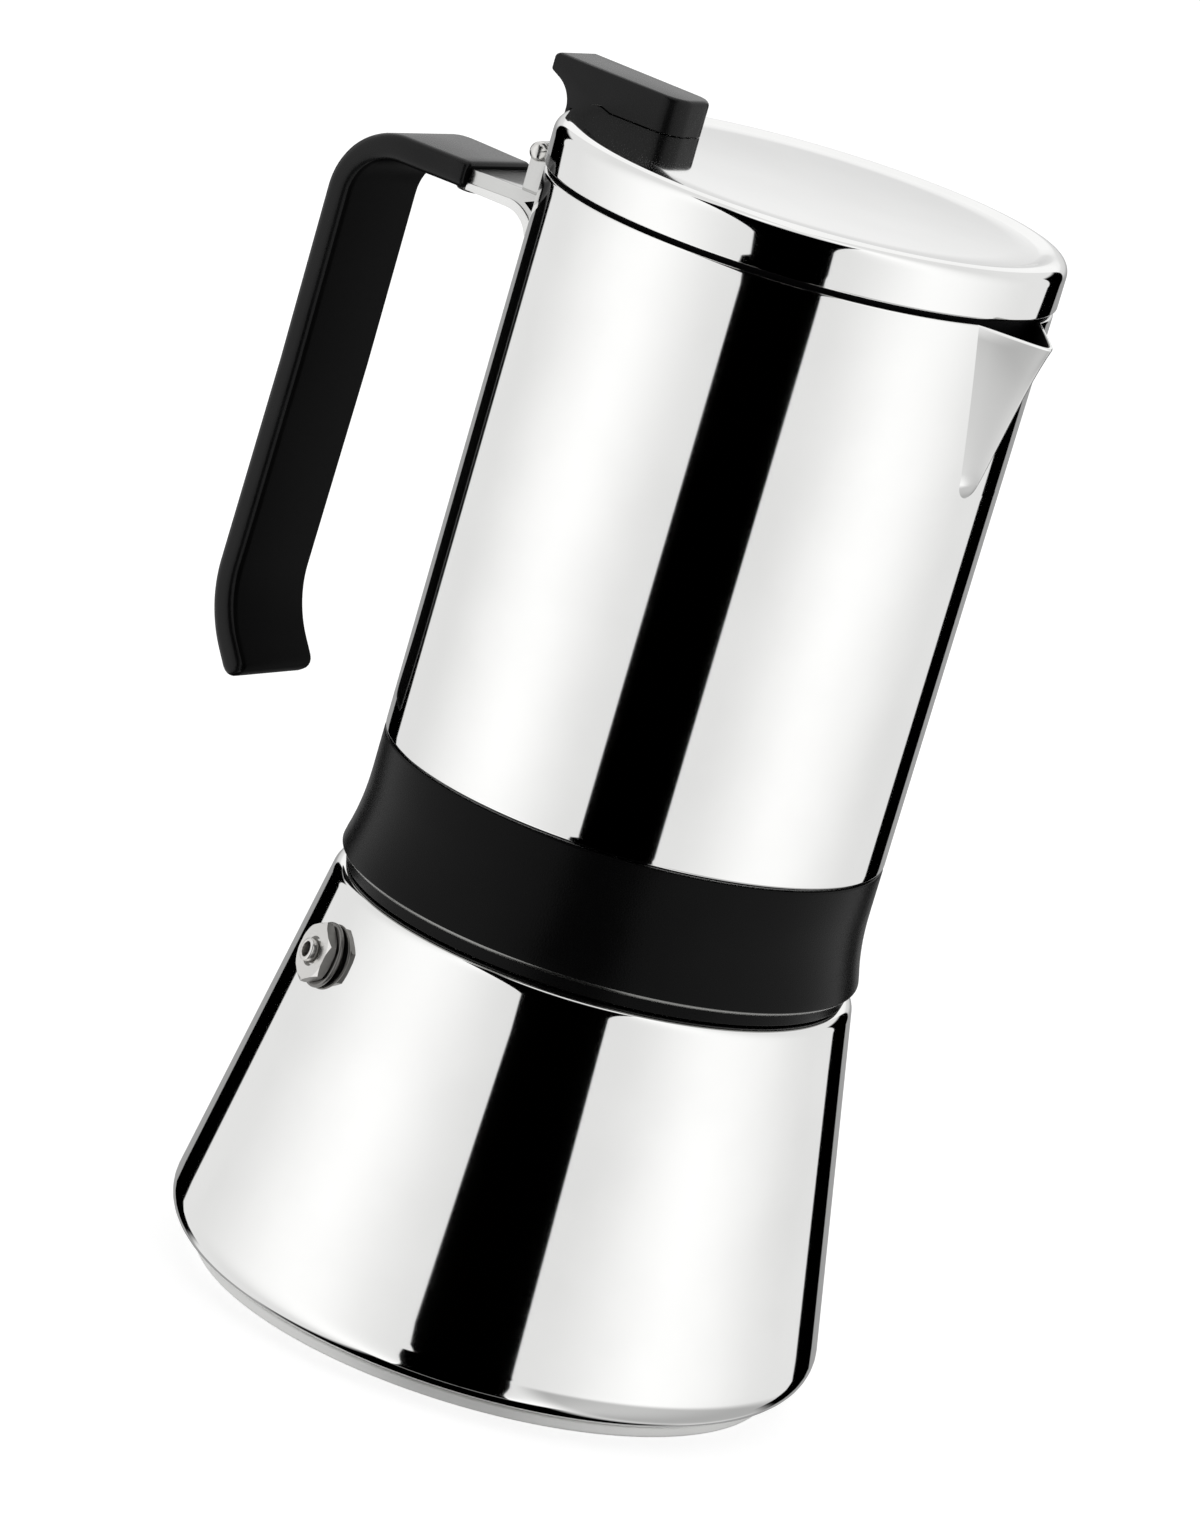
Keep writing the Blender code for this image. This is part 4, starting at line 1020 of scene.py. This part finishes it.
def pan_head_screw(x, tip, under, down=1.9, radius=3.0):
    """A cross-slotted pan head below a thread that points up."""
    rows = rows_between(tip - 0.3, under + 0.2, 0.12)
    thread = [(1.45 if i % 4 in (1, 2) else 1.2, z) for i, z in enumerate(rows)]
    shape = lathe(rounded([
        (0, tip), (1.2, tip), *thread, (1.5, under),
        (radius, under, 0.15), (radius, under - down * 0.35, 0.2), (radius * 0.72, under - down * 0.85, 0.4),
        (0, under - down),
    ], steps=3), 48)
    for long, wide in ((3.2, 0.7), (0.7, 3.2)):
        cut = bmesh.new()
        bmesh.ops.create_cube(cut, size=1.0)
        bmesh.ops.scale(cut, vec=(long, wide, 1.6), verts=cut.verts)
        bmesh.ops.translate(cut, vec=(0, 0, under - down), verts=cut.verts)
        shape = combine(shape, "DIFFERENCE", cut)
    bmesh.ops.translate(shape, vec=(x, 0, 0), verts=shape.verts)
    return shape


grip()
piece(
    "handle_fixing_screw", pan_head_screw(ROOT_X - 5, ARM_Z + 0.7, ARM_Z - ARM_THICK / 2 - FIT),
    "collector", "brushed_steel", VALVE_STEEL, "handle_screw",
)


# ------------------------------------------------------------------ lid
# A mirror-polished steel cap whose top is sunk a little inside a low rim.
# A pressed liner is fixed inside it and drops into the jug's mouth.
LID_RADIUS, LID_EDGE, LID_DISH, LID_ROUND = 46.3, 213.8, 213.2, 2.8
DISH_RADIUS, DISH_SLOPE = 40.5, 2.8
SKIRT_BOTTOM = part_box("lid_shell")[0].z * 1000
KNOB_SCREW_X = -38.0


def lid_top():
    """The slightly crowned floor of the dish and its slope up to the rim."""
    radii = (0, 6, 12, 18, 23, 28, 32, 36, DISH_RADIUS)
    line = [(r, LID_DISH + 0.2 * (1 - (r / DISH_RADIUS) ** 2)) for r in radii]
    for i in range(1, 9):
        share = (1 - math.cos(math.pi * i / 8)) / 2
        line.append((DISH_RADIUS + DISH_SLOPE * i / 8, LID_DISH + (LID_EDGE - LID_DISH) * share))
    return line


def lid():
    edge = LID_RADIUS - LID_ROUND
    crown = lid_top()
    shape = lathe(rounded([
        *crown, *arc((edge, LID_EDGE - LID_ROUND), LID_ROUND, 90, 0, 12), (LID_RADIUS, SKIRT_BOTTOM, 0.35),
        (LID_RADIUS - WALL, SKIRT_BOTTOM, 0.35),
        *arc((edge, LID_EDGE - LID_ROUND), LID_ROUND - WALL, 0, 90, 8),
        *((r, z - WALL) for r, z in reversed(crown)),
    ], steps=4))
    piece("lid_polished_cap", shape, "lid", "polished_steel", MIRROR, "lid_shell")

    top = SKIRT_BOTTOM + 4.6
    wide, ring = LID_RADIUS - WALL - FIT, RADIUS - WALL - 1.0
    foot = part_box("lid_liner")[0].z * 1000
    liner = lathe(rounded([
        (0, top), (wide, top, 0.8), (wide, SKIRT_BOTTOM + 1.6, 0.4), (ring, SKIRT_BOTTOM + 1.0, 0.3),
        (ring, foot, 0.3), (ring - SHEET, foot, 0.3), (ring - SHEET, SKIRT_BOTTOM + 1.6, 0.4),
        (wide - SHEET, SKIRT_BOTTOM + 2.4, 0.3), (wide - SHEET, top - SHEET, 0.4), (34, top - SHEET, 2.0),
        (31, top - SHEET + 0.35, 2.0), (0, top - SHEET + 0.35),
    ], steps=4), 192)
    made = piece("lid_pressed_liner", liner, "lid", "polished_steel", (INSIDE_STEEL, PAINTED_SHADE), "lid_liner")
    # The outside of the liner's ring, seen through the gap under the lid, is painted near-black as shade.
    for face in made.data.polygons:
        x, y, z = face.center * 1000
        face.material_index = int(math.hypot(x, y) > ring - 0.3 and z < SKIRT_BOTTOM + 2)


lid()


# ------------------------------------------------------------------ lid hinge
# A bent steel leaf under the knob ends in a knuckle between the bracket's ears.
# A steel pin with two domed heads runs through them.
LEAF_GAP, LEAF_HALF = 1.4, 4.6


def lid_hinge():
    out, near = -LID_RADIUS - LEAF_GAP - SHEET, -LID_RADIUS - LEAF_GAP
    tongue_low, tongue_high = LID_EDGE + FIT, LID_EDGE + FIT + SHEET
    strip = rounded([
        (out, PIN_Z + 2.4), (near, PIN_Z + 2.4), (near, tongue_low, 0.3), (KNOB_SCREW_X + 4, tongue_low),
        (KNOB_SCREW_X + 4, tongue_high), (out, tongue_high, 0.9),
    ], steps=4)
    shape = slab(strip, -LEAF_HALF, LEAF_HALF)
    stem = [(out, PIN_Z - 0.4), (near, PIN_Z - 0.4), (near, PIN_Z + 5), (out, PIN_Z + 5)]
    shape = combine(shape, "UNION", slab(stem, -KNUCKLE_HALF, KNUCKLE_HALF))
    shape = combine(shape, "UNION", dowel(EAR_RADIUS, -KNUCKLE_HALF, KNUCKLE_HALF, PIN_X, PIN_Z, 40))
    round_edges(shape, 0.15, 2, angle=50)
    shape = combine(shape, "DIFFERENCE", dowel(PIN_RADIUS + 0.1, -20, 20, PIN_X, PIN_Z))
    hole = lathe([(0, 220), (1.8, 220), (1.8, 210), (0, 210)], 32)
    bmesh.ops.translate(hole, vec=(KNOB_SCREW_X, 0, 0), verts=hole.verts)
    shape = combine(shape, "DIFFERENCE", hole)
    piece("lid_hinge_strip", shape, "lid", "brushed_steel", BRACKET_STEEL, "lid_hinge_leaf")

    shaft, head = EAR_OUTSIDE + FIT, 1.85
    upper = [
        (0, shaft + 0.3 + head), *arc((0, shaft + 0.3), head, 80, 0, 9), (head - 0.15, shaft),
        (PIN_RADIUS, shaft),
    ]
    pin = lathe([*upper, *((r, -z) for r, z in reversed(upper))], 48)
    place = Matrix.Translation((PIN_X, 0, PIN_Z)) @ turn(90, "X")
    piece("hinge_domed_pin", pin, "collector", "polished_steel", VALVE_STEEL, "hinge_pin", place=place)


lid_hinge()


# ------------------------------------------------------------------ lid knob
# A moulded black wedge over the hinge side of the lid, with a thumb lip behind.
# A screw up through the lid and the leaf holds it.
KNOB_BACK, KNOB_FRONT, KNOB_HALF = -54.6, -27.0, 6.1
KNOB_BOTTOM, KNOB_TOP, KNOB_HEEL = 211.6, 219.9, 208.1


def knob():
    heel_in = -LID_RADIUS - LEAF_GAP - SHEET - FIT
    heel_out = heel_in - 0.9
    line = [
        (KNOB_BACK, KNOB_TOP + 0.2), (KNOB_BACK, KNOB_TOP - 3.2), *arc((-55.2, 210.9), 5.5, 68, 8, 12),
        (heel_out, KNOB_HEEL), (heel_in, KNOB_HEEL), (heel_in, KNOB_BOTTOM), (KNOB_FRONT, KNOB_BOTTOM),
        (KNOB_FRONT, KNOB_TOP),
    ]
    shape = slab(line, -KNOB_HALF, KNOB_HALF)

    def at_front(a, b):
        return min(a.x, b.x) > KNOB_FRONT - 0.01 and abs(a.z - b.z) > 1

    def at_top(a, b):
        return min(a.z, b.z) > KNOB_TOP - 0.01

    def at_heel(a, b):
        return max(a.z, b.z) < KNOB_TOP - 1 and max(a.x, b.x) < heel_in + 0.1

    round_edges(shape, 4.0, 10, at_front)
    round_edges(shape, 1.0, 5, at_top)
    round_edges(shape, 0.35, 2, at_heel, 50)
    room_end, room_top = KNOB_SCREW_X + 4.3, LID_EDGE + 2 * FIT + SHEET
    room = slab([
        (heel_in, KNOB_HEEL - 1), (room_end, KNOB_HEEL - 1), (room_end, room_top), (heel_in, room_top),
    ], -LEAF_HALF - FIT, LEAF_HALF + FIT)
    edge = LID_RADIUS - LID_ROUND
    over = [(r, z + 0.15) for r, z in lid_top()]
    lid_space = lathe([
        *over, *arc((edge, LID_EDGE - LID_ROUND), LID_ROUND + 0.15, 90, 0, 12), (LID_RADIUS + 0.15, 200),
        (0, 200),
    ], 180)
    shape = combine(shape, "DIFFERENCE", lid_space)
    shape = combine(shape, "DIFFERENCE", room)
    bore = lathe([(0, 218.4), (1.8, 218.4), (1.8, 210), (0, 210)], 32)
    bmesh.ops.translate(bore, vec=(KNOB_SCREW_X, 0, 0), verts=bore.verts)
    shape = combine(shape, "DIFFERENCE", bore)
    piece("black_lid_knob", shape, "lid", "black_plastic", BLACK, "lid_knob", sharp=40)
    piece(
        "knob_fixing_screw", pan_head_screw(KNOB_SCREW_X, 218.0, LID_DISH - WALL - FIT, 1.6, 3.2),
        "lid", "brushed_steel", VALVE_STEEL, "knob_screw",
    )


knob()
